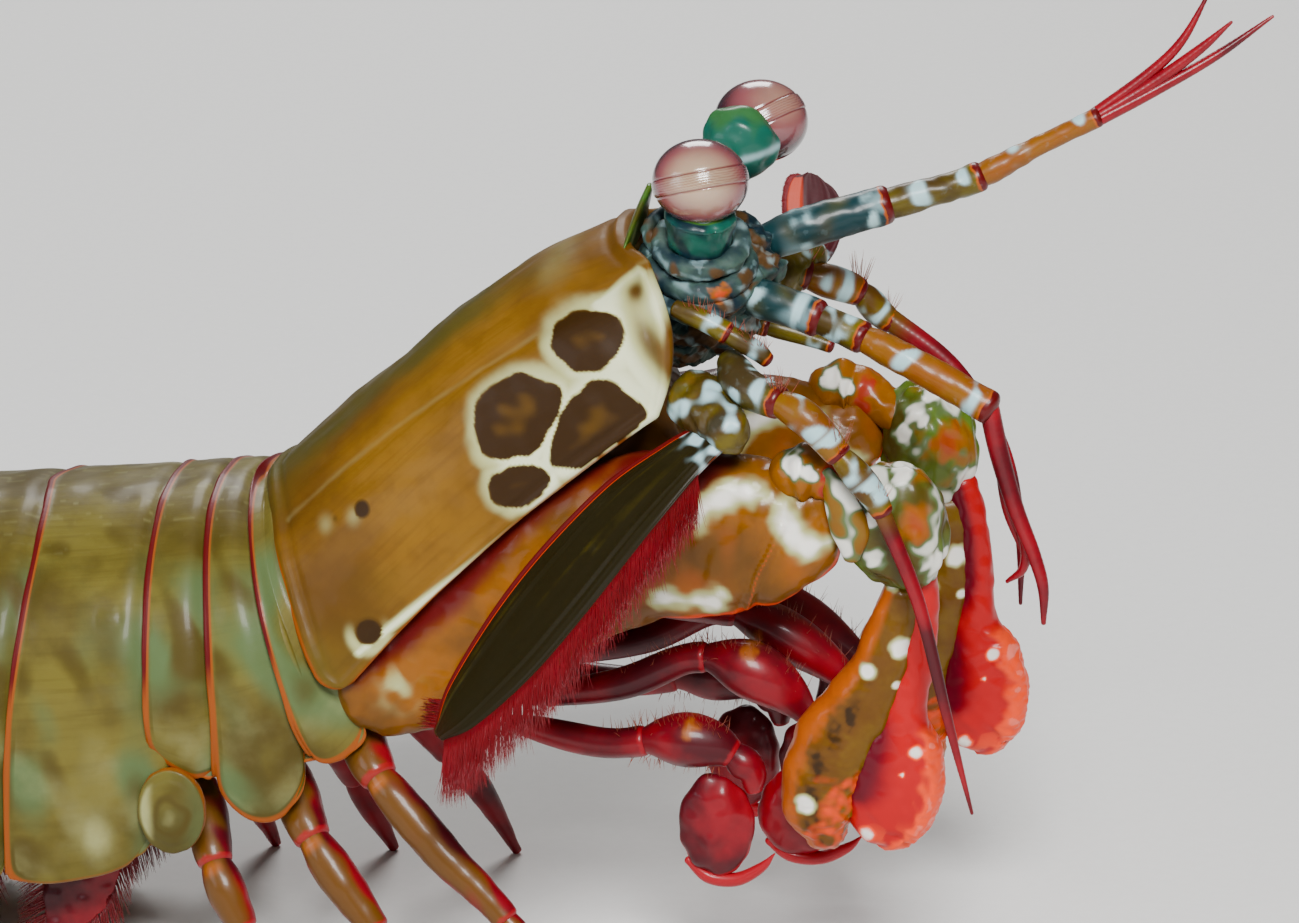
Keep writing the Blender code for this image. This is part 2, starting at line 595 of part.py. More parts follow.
def make_mouth_limbs():
    """Cleaning limb beside the mouth and three pairs of small grasping limbs."""
    palps = {
        "r": [(29.9, -8.4, 52.0, 0.7), (32.2, -8.7, 51.2, 0.75), (35.4, -8.6, 49.4, 0.7),
              (36.4, -8.6, 48.6, 0.5)],
        "l": [(30.6, 8.2, 46.6, 0.7), (32.6, 8.4, 46.2, 0.75), (36.0, 8.6, 45.4, 0.7),
              (38.6, 8.6, 44.6, 0.5)],
    }
    rods = {
        "3": ([(24.0, -2.1, 27.4, 1.0), (28.0, -2.2, 28.4, 1.1), (33.2, -2.3, 28.0, 1.6),
               (37.5, -2.4, 26.0, 1.5), (41.4, -2.6, 23.2, 1.1), (42.8, -2.8, 20.4, 0.9),
               (43.0, -2.8, 18.6, 0.7)],
              (43.0, -2.8, 17.4), (2.3, 1.3, 3.0)),
        "4": ([(18.6, -4.4, 21.2, 0.9), (25.6, -4.9, 22.9, 1.0), (30.6, -5.2, 25.2, 1.3),
               (34.4, -5.6, 24.9, 1.8), (37.6, -5.6, 23.0, 1.5), (39.2, -5.5, 20.6, 0.9),
               (38.9, -5.4, 17.6, 0.8), (38.6, -5.3, 15.4, 0.7)],
              (38.4, -5.2, 14.0), (2.9, 1.2, 3.3)),
        "5": ([(17.6, -5.8, 19.8, 0.9), (24.4, -6.5, 18.9, 1.0), (29.0, -6.9, 19.6, 1.6),
               (32.5, -7.0, 19.4, 1.6), (35.2, -7.0, 17.8, 1.0), (36.0, -7.0, 16.4, 0.8)],
              (34.2, -7.0, 13.4), (3.3, 1.3, 3.3)),
    }
    for side, sign in SIDES.items():
        rod = tube("maxilliped_1_" + side, palps[side], 5)
        paint(rod, AMBER)
        for number, (rows, centre, radii) in rods.items():
            limb = tube(f"maxilliped_{number}_{side}", mirrored(rows, side), 9)
            disc_place = (centre[0], -sign * centre[1], centre[2])
            disc = ball(f"maxilliped_{number}_{side}_hand", disc_place, radii, segments=8, rings=5)
            union(limb, disc)
            paint(limb, CRIMSON)


# Walking legs, swimming legs and tail fan

def make_legs():
    """Three pairs of thin walking legs, each tip a small flat on the floor."""
    legs = {
        "1_r": [(6.6, -7.6, 20.2, 1.5), (9.2, -12.0, 17.6, 1.5), (14.3, -14.0, 12.6, 1.25),
                (18.5, -15.2, 9.0, 1.1), (21.2, -16.0, 5.4, 0.8), (22.8, -16.3, -0.3, 0.55)],
        "2_r": [(1.6, -7.6, 16.6, 1.5), (4.3, -12.0, 12.7, 1.45), (8.8, -14.0, 7.3, 1.2),
                (11.6, -15.0, 3.8, 0.9), (13.9, -15.6, -0.3, 0.55)],
        "3_r": [(-4.6, -7.6, 14.4, 1.4), (-2.8, -12.0, 10.4, 1.4), (-0.7, -13.5, 6.5, 1.15),
                (1.4, -14.6, 3.2, 0.85), (3.2, -15.2, -0.3, 0.55)],
        "1_l": [(6.0, 7.6, 19.8, 1.5), (5.8, 12.4, 15.4, 1.5), (8.6, 15.6, 9.6, 1.25),
                (11.2, 17.4, 5.2, 0.9), (13.6, 18.6, -0.3, 0.55)],
        "2_l": [(1.2, 7.6, 16.2, 1.5), (0.8, 12.2, 12.0, 1.45), (1.6, 15.2, 7.2, 1.2),
                (2.8, 16.8, 3.6, 0.9), (4.2, 17.8, -0.3, 0.55)],
        "3_l": [(-5.0, 7.6, 14.2, 1.4), (-6.0, 11.6, 10.2, 1.4), (-6.4, 14.6, 6.4, 1.15),
                (-5.8, 16.2, 3.2, 0.85), (-4.8, 17.2, -0.3, 0.55)],
    }
    for number, rows in legs.items():
        leg = tube("walking_leg_" + number, rows, 7)
        paint(leg, CRIMSON)


def make_pleopods():
    """Five pairs of leaf-like swimming legs under the abdomen."""
    roots = [(-12.6, 15.2), (-22.2, 13.8), (-31.4, 12.6), (-40.0, 10.8), (-47.6, 9.0)]
    for number, (x, z) in enumerate(roots, 1):
        drop = z - 2.6
        rows = [(x, -7.0, z, 2.2, 0.9), (x - 0.5, -7.4, z - 0.35 * drop, 3.0, 0.8),
                (x - 1.6, -7.7, z - 0.72 * drop, 2.9, 0.6), (x - 3.0, -8.0, z - drop, 1.0, 0.4)]
        for side in SIDES:
            leaf = blade(f"pleopod_{number}_{side}", mirrored(rows, side), (0.3, 1.0, 0.0),
                         count=5, sides=8)
            paint(leaf, CRIMSON)


def make_tail_fan():
    """Two-branched uropods beside the telson, their tips flat on the floor."""
    stalk = [(-56.8, -14.5, 6.8, 1.6, 1.4), (-59.4, -15.5, 5.7, 2.3, 1.4),
             (-62.4, -16.6, 4.4, 2.2, 1.2)]
    inner = [(-61.0, -16.2, 4.4, 1.3, 0.8), (-66.0, -17.3, 2.6, 2.3, 0.6),
             (-72.0, -18.1, 1.0, 2.5, 0.55), (-77.4, -17.8, 0.35, 1.2, 0.45)]
    outer = [(-61.6, -19.6, 5.6, 1.3, 1.0), (-65.0, -21.9, 4.2, 2.4, 0.9),
             (-70.4, -24.0, 2.6, 2.9, 0.8), (-74.0, -25.1, 1.5, 2.6, 0.6),
             (-78.0, -26.1, 0.7, 3.0, 0.5), (-83.6, -27.0, 0.3, 1.2, 0.45)]
    for side in SIDES:
        branch = blade("uropod_endopod_" + side, mirrored(inner, side), (0.0, 0.0, 1.0), count=7)
        base = blade("uropod_stalk_" + side, mirrored(stalk, side), (0.0, 0.0, 1.0), count=5)
        union(branch, base)
        paint(branch, TEAL)
        fan = blade("uropod_exopod_" + side, mirrored(outer, side), (0.0, 0.2, 1.0), count=10)
        paint(fan, TEAL)
        keep_clear(branch, fan)
        keep_clear(branch, bpy.data.objects["abdomen_6"])


def main():
    empty_scene()
    make_trunk()
    make_head()
    make_antennules()
    make_antennae()
    make_claws()
    make_mouth_limbs()
    make_legs()
    make_pleopods()
    make_tail_fan()


main()
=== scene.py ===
"""Peacock mantis shrimp, life size, as a museum would model it: the visual pieces round the packed frame.

Points are drawn in the animal's own frame in millimetres (x forward, y to its left, z up
from the floor) and placed in metres in the frame's rows. Every shape is a grid of points.
"""

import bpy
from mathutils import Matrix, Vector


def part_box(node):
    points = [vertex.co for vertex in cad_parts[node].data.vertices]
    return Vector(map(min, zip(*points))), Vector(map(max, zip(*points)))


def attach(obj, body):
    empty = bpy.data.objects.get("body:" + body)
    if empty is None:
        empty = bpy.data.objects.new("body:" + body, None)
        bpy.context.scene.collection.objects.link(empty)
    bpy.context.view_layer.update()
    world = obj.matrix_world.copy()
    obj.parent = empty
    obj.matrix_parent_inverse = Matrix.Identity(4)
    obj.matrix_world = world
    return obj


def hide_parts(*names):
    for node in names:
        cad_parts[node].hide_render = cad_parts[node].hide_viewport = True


bl_info = {
    "name": "Mantis shrimp model",
    "version": (1, 0, 0),
    "blender": (4, 5, 0),
    "location": "3D view > Sidebar > Shrimp",
    "description": "Shell plates, eyes, claws, limbs and bristles of a life-size mantis shrimp",
    "category": "Add Mesh",
}

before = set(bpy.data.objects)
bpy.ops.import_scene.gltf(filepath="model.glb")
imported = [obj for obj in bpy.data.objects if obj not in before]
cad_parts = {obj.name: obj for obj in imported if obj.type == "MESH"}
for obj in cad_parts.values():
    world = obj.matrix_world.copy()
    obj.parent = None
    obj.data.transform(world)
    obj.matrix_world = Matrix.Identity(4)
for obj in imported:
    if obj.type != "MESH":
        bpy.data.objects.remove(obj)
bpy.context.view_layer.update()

import math
from collections import namedtuple

import bpy
import numpy as np
from bpy.props import FloatProperty, FloatVectorProperty, PointerProperty
from mathutils import Vector

MM = 0.001
EYES = {"r": (31.3, -6.3, 60.6), "l": (33.7, 6.7, 61.6)}
EYE_RADII = (3.35, 3.1, 2.95)
# Millimetres from the animal's frame to the row frame, from where the near eye was packed
EYE_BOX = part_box("eye_r")
SHIFT = (np.array(EYE_BOX[0]) + np.array(EYE_BOX[1])) / 2 / MM - EYES["r"]
SIDES = {"r": -1, "l": 1}

# An edge between trunk plates: its crest's place and its pitch in degrees, the half width
# and height of its arch, and how far its shoulder, flank and tip lead the crest
Edge = namedtuple("Edge", "x z pitch half arch shoulder flank tip")
EDGES = {
    "thorax_6_front": Edge(-1.45, 36, 37.2, 13.6, 10.6, 0.2, -1.2, -0.6),
    "thorax_6": Edge(-1.8, 36, 12, 14.3, 12, 1.1, 2.1, 2.5),
    "thorax_7": Edge(-4.2, 35.8, 4, 14.5, 12.8, 0.6, 1.1, 0.4),
    "thorax_8": Edge(-8, 35.3, 0, 14.7, 13.3, 0.5, 1, 0.9),
    "abdomen_1": Edge(-17.2, 34.4, 0, 14.9, 13.6, 1, 0.2, -0.6),
    "abdomen_2": Edge(-27, 33.2, 7, 15, 13.6, 0.6, 0.6, 0.4),
    "abdomen_3": Edge(-36.3, 31, 15, 15, 13.4, 0.5, 0.4, 0.2),
    "abdomen_4": Edge(-45.1, 27.6, 24, 14.8, 12.8, 0.4, 0.3, 0),
    "abdomen_5": Edge(-53.2, 22.9, 33, 14.4, 11.8, 0.3, 0.2, 0),
    "abdomen_6": Edge(-60.9, 17.05, 39, 13.4, 9.8, 0.2, 0.2, 0),
}
# Each somite: flap depth in front, behind and extra between, then the depth of the flesh
SOMITES = {
    "thorax_6": (7, 5.6, 1.4, 15),
    "thorax_7": (6.2, 5.4, 3.9, 15.5),
    "thorax_8": (5.9, 2.4, 0.6, 15.8),
    "abdomen_1": (10.2, 11.4, 1.4, 18.5),
    "abdomen_2": (11.2, 11.4, 1.4, 18.8),
    "abdomen_3": (11, 10.4, 1.4, 18),
    "abdomen_4": (10.2, 8.4, 1.4, 17),
    "abdomen_5": (8.4, 6.2, 1.4, 15.5),
    "abdomen_6": (6.2, 3.4, 1, 12.5),
}
# Half the way round a plate, which turns u into millimetres
HALF_GIRTH = 34
# Lengths in millimetres, pitches in degrees; roots as x and z, the tail plate's with its pitch
CARAPACE_LENGTH = 33.3
CARAPACE_PITCH = 37.2
CARAPACE_REAR = (-1.1, 36.1)
CARAPACE_WALL = 0.9
CARAPACE_ARCH = 14.25
CARAPACE_CROWN = 1.6
REAR_HALF_WIDTH = 14
FRONT_HALF_WIDTH = 10.6
ARCH_POWER = 2.15
TELSON_LENGTH = 24
TELSON_ROOT = (-61.25, 16.75, 39)
TELSON_HALF_WIDTH = 12.6
# How each claw's shaft and hammer turn about the pivot, in degrees, and then shift
PROPODUS_PIVOT = (46.2, 32.6)
PROPODUS_SWING = {"r": 0, "l": 12}
PROPODUS_SHIFT = {"r": (0, 0, 0), "l": (1.1, 0, 0.6)}


def linear(code):
    """sRGB hex to linear red, green, blue: the standard curve on each of the three bytes."""
    values = [int(code[i:i + 2], 16) / 255 for i in (1, 3, 5)]
    return tuple(v / 12.92 if v <= 0.04045 else ((v + 0.055) / 1.055) ** 2.4 for v in values)


def colour(name, description, code):
    """A colour that the panel shows."""
    return FloatVectorProperty(name=name, description=description, subtype="COLOR", size=3,
                               min=0, max=1, default=linear(code))


def length(name, description, millimetres):
    """A length that the panel shows."""
    return FloatProperty(name=name, description=description, unit="LENGTH", precision=5,
                         min=0, default=millimetres * MM)


# What a user may change

class ShrimpSizes(bpy.types.PropertyGroup):
    lip: length("Plate lip", "How far the rear lip of a plate stands up", 0.14)
    tuck: length("Plate tuck", "How far a plate's front runs under the one before it", 1.1)
    groove: length("Carapace groove", "Depth of the two long grooves of the carapace", 0.16)
    rim: length("Coloured rim", "Width of the orange and crimson rim of a plate", 0.62)
    hair: length("Bristle", "Thickness of a bristle at its root", 0.13)
    scale_fringe: length("Scale fringe", "Length of the bristles round a feeler scale", 4.4)
    tail_fringe: length("Tail fringe", "Length of the bristles round the tail limbs", 3.6)


class ShrimpColours(bpy.types.PropertyGroup):
    carapace: colour("Carapace", "Olive-brown of the carapace", "#7A5410")
    carapace_shade: colour("Carapace shade", "Darker mottling of the carapace", "#553605")
    # Dark olive: painted shade along the carapace's crest, and a green tint low at its rear
    carapace_top: colour("Carapace top", "Dark olive along the carapace's crest", "#43400E")
    spot: colour("Spot", "Olive-brown inside the carapace's spots", "#4E3404")
    spot_edge: colour("Spot edge", "Dark brown border of the spots", "#2E1A00")
    net: colour("Net", "Greenish white between the spots", "#DADEB6")
    plate: colour("Plate", "Olive of the trunk plates", "#665C22")
    plate_shade: colour("Plate shade", "Darker streaks of the trunk plates", "#463A0C")
    plate_cool: colour("Plate green", "Green tint of the trunk plates", "#50623A")
    # On the trunk plates' lower flanks this cream is partly painted highlight
    plate_cream: colour("Plate cream", "Cream of the lower lobes", "#A8A870")
    band: colour("Orange band", "Orange band inside a plate's rear line", "#8C4206")
    line: colour("Crimson line", "Crimson line on a plate's rear edge", "#560406")
    tail: colour("Tail", "Blue-green of the tail plate and its limbs", "#2A5F55")
    tail_shade: colour("Tail shade", "Darker tone of the tail", "#2A3814")
    teal: colour("Teal", "Teal of the eyestalks and the first joints", "#0C5444")
    sea: colour("Sea blue", "Dark blue-green of the feelers' first joints", "#0C3034")
    navy: colour("Navy", "Dark blue shading on the stalks", "#08202A")
    ice: colour("Ice", "Pale blue-white bands", "#A6C8CC")
    head: colour("Head", "Grey-green of the head", "#3C5248")
    leaf: colour("Leaf green", "Green of the plate between the eyes", "#3C6A1E")
    head_brown: colour("Head brown", "Brown patches of the head", "#4A3216")
    # The cornea's cream middle is a painted highlight, and its mauve border painted shade
    cornea: colour("Cornea", "Cream-pink of the eye's middle", "#A88E74")
    cornea_pink: colour("Cornea pink", "Pink between the eye's middle and border", "#84464A")
    cornea_rim: colour("Cornea rim", "Mauve of the eye's border", "#2E1020")
    olive: colour("Olive", "Olive joints of the feelers", "#5E5202")
    olive_shade: colour("Olive shade", "Brown mottling of the feelers", "#3E2C04")
    amber: colour("Amber", "Orange joints of the feelers and claws", "#904A04")
    gold: colour("Gold", "Golden-orange borders of the claws", "#A24A02")
    scale: colour("Scale", "Nearly black olive of the feeler scales", "#1E1804")
    claw: colour("Claw", "Translucent orange-olive of the claw's arm", "#844C00")
    claw_shade: colour("Claw shade", "Darker tone of the claw's arm", "#5C3804")
    claw_pink: colour("Claw crimson", "Crimson flush of the claw's upper side", "#560A0A")
    white: colour("White", "White patches of the claws", "#F0ECE2")
    flame: colour("Flame", "Orange-red rims of the claws", "#D63C08")
    shaft: colour("Shaft", "Speckled olive-brown of the claw's shaft", "#6A4C06")
    hammer: colour("Hammer", "Red of the hammer", "#B0000C")
    hammer_shade: colour("Hammer shade", "Purple shading of the hammer", "#5A0216")
    club: colour("Club", "Orange-pink striking face", "#EC4210")
    wrist: colour("Wrist", "Olive-green of the claw's wrist", "#4C661A")
    red: colour("Red", "Bright crimson of joints and whips", "#9A0418")
    crimson: colour("Crimson", "Crimson of the small limbs", "#860216")
    crimson_shade: colour("Crimson shade", "Dark tone of the small limbs", "#44020E")
    leg: colour("Leg", "Red-brown of the walking legs' upper joints", "#5E3A0A")
    floor: colour("Floor", "Pale studio floor", "#F0EFEC")


def sizes():
    """The sizes, turned from metres to the millimetres that the shapes are drawn in."""
    group = bpy.context.scene.shrimp_sizes
    names = ShrimpSizes.__annotations__
    return namedtuple("Sizes", names)(*[getattr(group, n) / MM for n in names])


def tint(name):
    """One of the panel's colours, opaque."""
    return (*getattr(bpy.context.scene.shrimp_colours, name), 1)


# Grids, meshes and pieces

# A grid of points with its four marks at each point, and its flow along and across
Sheet = namedtuple("Sheet", "points marks flow")
PALE, DARK, RIM, COOL = range(4)
# Sine waves in a wobble, rows in each rounded end of a limb, how much a joint widens at its
# start and its end, and where a shell's ends and margins get their rows as they round over
WAVES = 14
CAP_ROWS = 6
JOINT_FLARE = (-0.12, 0.1)
END_TURNS = np.radians([25, 50, 72, 90])
SIDE_TURNS = np.radians([30, 60, 90, 120, 150])


def smooth(low, high, value):
    """Cubic step from 0 at low to 1 at high: 3t^2 - 2t^3."""
    t = np.clip((value - low) / (high - low), 0, 1)
    return t * t * (3 - 2 * t)


def bell(value, width):
    """Bell curve, 1 at nought: exp(-(value / width)^2)."""
    return np.exp(-(value / width) ** 2)


def normed(vectors):
    """Vectors scaled to length 1."""
    return vectors / np.maximum(np.linalg.norm(vectors, axis=-1, keepdims=True), 1e-9)


def padded(values, count):
    """Rows of values, with the first and the last repeated count times more."""
    return np.concatenate([np.repeat(values[:1], count, 0), values, np.repeat(values[-1:], count, 0)])


def blank(points):
    """No marks at any of the points."""
    return np.zeros(points.shape[:-1] + (4,))


def paint(sheet, pale=None, dark=None, rim=None, cool=None):
    """Set those of a sheet's marks that are given, and return the sheet."""
    for channel, share in enumerate((pale, dark, rim, cool)):
        if share is not None:
            sheet.marks[..., channel] = share
    return sheet


def wobble(points, size, seed):
    """Smooth irregular height about -1 to 1: a sum of sine waves in seeded directions,
    each some size millimetres long."""
    rng = np.random.default_rng(seed)
    ways = normed(rng.normal(size=(WAVES, 3)))
    waves = ways * (2 * math.pi / size * rng.uniform(0.6, 1.7, WAVES))[:, None]
    return np.sin(points @ waves.T + rng.uniform(0, 6.28, WAVES)).sum(-1) / math.sqrt(WAVES)


def cloud(points, size, seed, low, high):
    """Irregular patches, 0 to 1: a wobble stepped smoothly between two heights."""
    return smooth(low, high, wobble(points, size, seed))


def aside(points, axis):
    """How far each point is from its row's middle along an axis, as a share of the most."""
    away = (points - points.mean(axis=1, keepdims=True))[..., axis]
    return away / np.maximum(np.abs(away).max(1, keepdims=True), 1e-6)


def relief(points, height, wrap=False):
    """Move a grid's points outwards by height, along the cross product of its two
    differences; outwards is away from the middle of each row."""
    whole = np.concatenate([points[:, -2:-1], points, points[:, 1:2]], 1) if wrap else points
    normal = np.cross(np.gradient(whole, axis=0), np.gradient(whole, axis=1))
    if wrap:
        normal = normal[:, 1:-1]
    size = np.linalg.norm(normal, axis=-1, keepdims=True)
    normal = normal / np.maximum(size, 1e-9) * (size > 1e-7)
    away = points - points.mean(axis=1, keepdims=True)
    if (normal * away).sum() < 0:
        normal = -normal
    return points + normal * np.asarray(height)[..., None]


def raised(sheet, height):
    """A sheet whose rows close on themselves, moved outwards by height."""
    return Sheet(relief(sheet.points, height, wrap=True), sheet.marks, sheet.flow)


def weld(points, faces):
    """Merge points that coincide to a micron; a square with two merged corners becomes a
    triangle, and one with more is dropped."""
    _, keep, back = np.unique(np.round(points * 1000).astype(np.int64), axis=0,
                              return_index=True, return_inverse=True)
    faces = back.ravel()[faces]
    same = faces == np.roll(faces, -1, axis=1)
    count = same.sum(1)
    crossed = (faces[:, 0] == faces[:, 2]) | (faces[:, 1] == faces[:, 3])
    squares = faces[(count == 0) & ~crossed]
    one = (count == 1) & ~crossed
    triangles = faces[one][~same[one]].reshape(-1, 3)
    return keep, squares, triangles


def volume(points, squares, triangles):
    """Signed volume: a sixth of the sum of a . (b x c) over the triangles."""
    fans = np.vstack([squares[:, [0, 1, 2]], squares[:, [0, 2, 3]], triangles])
    a, b, c = (points[fans[:, k]] for k in range(3))
    return (a * np.cross(b, c)).sum() / 6


def make_mesh(name, points, squares, triangles):
    """A smooth mesh from millimetre points, put in its place in metres; none below the floor."""
    mesh = bpy.data.meshes.new(name)
    points = (points + SHIFT) * MM
    points[:, 2] = np.maximum(points[:, 2], 0)
    mesh.vertices.add(len(points))
    mesh.vertices.foreach_set("co", points.ravel())
    corners = np.concatenate([squares.ravel(), triangles.ravel()]).astype(np.int32)
    starts = np.concatenate([np.arange(len(squares)) * 4,
                             len(squares) * 4 + np.arange(len(triangles)) * 3]).astype(np.int32)
    mesh.loops.add(len(corners))
    mesh.loops.foreach_set("vertex_index", corners)
    mesh.polygons.add(len(starts))
    mesh.polygons.foreach_set("loop_start", starts)
    mesh.update(calc_edges=True)
    mesh.shade_smooth()
    return mesh


def linked(name, data):
    """A new object in the scene."""
    thing = bpy.data.objects.new(name, data)
    bpy.context.scene.collection.objects.link(thing)
    return thing


def settle(name, mesh, material, nodes=()):
    """Link a finished mesh as a piece that rides on the body and stands for its CAD nodes."""
    mesh.materials.append(material)
    piece = linked(name, mesh)
    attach(piece, "root")
    if nodes:
        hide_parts(*nodes)


def build(name, sheets, material, slot, *nodes):
    """One piece from closed grids of points: welded, turned outwards, with its marks as
    red, green, blue and alpha, and its flow."""
    points, squares, triangles, marks, flow = [], [], [], [], []
    start = 0
    for sheet in sheets:
        rows, cols = sheet.points.shape[:2]
        index = np.arange(rows * cols).reshape(rows, cols)
        faces = np.stack([index[:-1, :-1], index[:-1, 1:], index[1:, 1:], index[1:, :-1]], -1)
        faces = faces.reshape(-1, 4)
        flat = sheet.points.reshape(-1, 3)
        keep, four, three = weld(flat, faces)
        if volume(flat[keep], four, three) < 0:
            four, three = four[:, ::-1], three[:, ::-1]
        points.append(flat[keep])
        marks.append(sheet.marks.reshape(-1, 4)[keep])
        flow.append(sheet.flow.reshape(-1, 3)[keep])
        squares.append(four + start)
        triangles.append(three + start)
        start += len(keep)
    mesh = make_mesh(name, np.vstack(points), np.vstack(squares), np.vstack(triangles))
    data = mesh.attributes.new("marks", "FLOAT_COLOR", "POINT")
    data.data.foreach_set("color", np.clip(np.vstack(marks), 0, 1).astype(np.float32).ravel())
    data = mesh.attributes.new("flow", "FLOAT_VECTOR", "POINT")
    data.data.foreach_set("vector", np.vstack(flow).astype(np.float32).ravel())
    settle(name, mesh, material, nodes)


# Curves and outlines

def curve(rows, t):
    """Catmull-Rom curve through the rows, every column, at the places t in row numbers."""
    rows = np.asarray(rows, float)
    ends = np.vstack([2 * rows[0] - rows[1], rows, 2 * rows[-1] - rows[-2]])
    t = np.clip(t, 0, len(rows) - 1 - 1e-9)
    i = t.astype(int)
    f = (t - i)[:, None]
    a, b, c, d = ends[i], ends[i + 1], ends[i + 2], ends[i + 3]
    return 0.5 * (2 * b + (c - a) * f + (2 * a - 5 * b + 4 * c - d) * f ** 2
                  + (3 * b - a - 3 * c + d) * f ** 3)


def outline(points, count=48):
    """Smooth closed line through a few points."""
    loop = np.vstack([points[-1:], points, points[:2]])
    return curve(loop, np.linspace(1, len(points) + 1, count, endpoint=False))


def outside(x, z, points, closed=True):
    """Signed distance of each (x, z) from a line of points, negative inside a closed one."""
    line = np.asarray(points, float)
    ends = np.roll(line, -1, axis=0) if closed else line[1:]
    starts = line if closed else line[:-1]
    best = np.full(np.shape(x), 1e9)
    inside = np.zeros(np.shape(x), bool)
    for (ax, az), (bx, bz) in zip(starts, ends):
        dx, dz = bx - ax, bz - az
        t = np.clip(((x - ax) * dx + (z - az) * dz) / (dx * dx + dz * dz + 1e-12), 0, 1)
        best = np.minimum(best, np.hypot(x - ax - t * dx, z - az - t * dz))
        if closed and dz:
            inside ^= ((az > z) != (bz > z)) & (x < dx * (z - az) / dz + ax)
    return np.where(inside, -best, best)


def dabs(points, places, ragged=0.15):
    """Painted dabs: 1 inside any circle (x, z, radius) seen from the side, with ragged,
    soft borders."""
    total = np.zeros(points.shape[:-1])
    rough = wobble(points, 1.1, 5) * ragged
    for x, z, radius in places:
        far = np.hypot(points[..., 0] - x, points[..., 2] - z) / radius + rough * 0.6
        total = np.maximum(total, 1 - smooth(0.45, 1.3, far))
    return total


def mirrored(rows, side):
    """Rows drawn for the right, put on the given side."""
    rows = np.array(rows, float)
    if side == "l":
        rows[:, 1] *= -1
    return rows


def swing(points, pivot, degrees):
    """Turn points about the y axis through the pivot, so that what hangs goes forward."""
    points = np.array(points, float)
    a = math.radians(degrees)
    x, z = points[..., 0] - pivot[0], points[..., 2] - pivot[1]
    points[..., 0] = pivot[0] + x * math.cos(a) - z * math.sin(a)
    points[..., 2] = pivot[1] + x * math.sin(a) + z * math.cos(a)
    return points


def plane_normal(path):
    """The way that a path varies least: the last direction of its singular values."""
    return np.linalg.svd(path - path.mean(0))[2][2]


def limb(rows, flat=None, along=48, around=28, power=2, cap=0.9, span=None, flare=(0, 0),
         belly=0):
    """Closed limb: superellipse sections, x = w cos^(2/p), y = h sin^(2/p), carried along a
    curve through the rows (x, y, z, half width, half thickness), its ends rounded by a
    quarter circle; flare widens it near its two ends, belly in its middle."""
    rows = np.asarray(rows, float)
    if rows.shape[1] == 4:
        rows = np.hstack([rows, rows[:, 3:]])
    low, high = span or (0, len(rows) - 1)
    path = curve(rows, np.linspace(low, high, along))
    centre = path[:, :3]
    if flat is None:
        flat = plane_normal(rows[:, :3])
    way = normed(np.gradient(centre, axis=0))
    far = np.concatenate([[0], np.cumsum(np.linalg.norm(np.diff(centre, axis=0), axis=1))])
    width, thick = path[:, 3], path[:, 4]
    for edge, gain in ((far, flare[0]), (far[-1] - far, flare[1])):
        swell = 1 + gain * bell(edge, 0.9 * np.mean(width))
        width, thick = width * swell, thick * swell
    swell = 1 + belly * (np.sin(math.pi * far / far[-1]) - 0.6)
    width, thick = width * swell, thick * swell
    turn = np.linspace(0, math.pi / 2, CAP_ROWS + 1)[:-1]
    first = cap * min(width[0], thick[0])
    last = cap * min(width[-1], thick[-1])
    grow = np.concatenate([np.sin(turn), np.ones(along), np.sin(turn)[::-1]])
    centre = np.vstack([centre[0] - way[0] * (first * np.cos(turn))[:, None], centre,
                        centre[-1] + way[-1] * (last * np.cos(turn)[::-1])[:, None]])
    way, width, thick = (padded(values, CAP_ROWS) for values in (way, width, thick))
    width, thick = width * grow, thick * grow
    far = np.concatenate([-first * np.cos(turn), far, far[-1] + last * np.cos(turn)[::-1]])
    across = normed(np.cross(way, np.asarray(flat, float)))
    through = np.cross(across, way)
    angle = np.linspace(0, 2 * math.pi, around + 1)
    angle[-1] = 0
    c, s = np.cos(angle), np.sin(angle)
    c, s = np.sign(c) * np.abs(c) ** (2 / power), np.sign(s) * np.abs(s) ** (2 / power)
    points = (centre[:, None] + across[:, None] * (width[:, None] * c)[..., None]
              + through[:, None] * (thick[:, None] * s)[..., None])
    flow = np.zeros(points.shape)
    flow[..., 0] = far[:, None]
    flow[..., 1] = np.abs(angle - math.pi)[None] * np.mean(width)
    return Sheet(points, blank(points), flow)


def jointed(rows, cuts, around=24, fine=0.35, rim=0.5, belly=0):
    """A limb of several segments cut at row numbers, each a closed limb with its end
    flared over the next; marks hold a rim ring at each end of a segment, as it shows."""
    rows = np.asarray(rows, float)
    flat = plane_normal(rows[:, :3])
    sheets = []
    for low, high in zip(cuts, cuts[1:]):
        path = curve(rows, np.linspace(low, high, 12))[:, :3]
        size = np.linalg.norm(np.diff(path, axis=0), axis=1).sum()
        sheet = limb(rows, flat, along=max(8, int(size / fine)), around=around, cap=0.5,
                     span=(low, high), flare=JOINT_FLARE, belly=belly)
        far = sheet.flow[..., 0]
        start, stop = far[CAP_ROWS, 0], far[-CAP_ROWS - 1, 0]
        rough = 0.14 * wobble(sheet.points, 1.1, 84)
        before = np.clip(0.8 + rough - (far - start) / rim, 0, 1) * (low > 0)
        after = np.clip(1 + rough - (stop - far) / rim, 0, 1)
        sheets.append(paint(sheet, rim=np.maximum(after, before)))
    return sheets


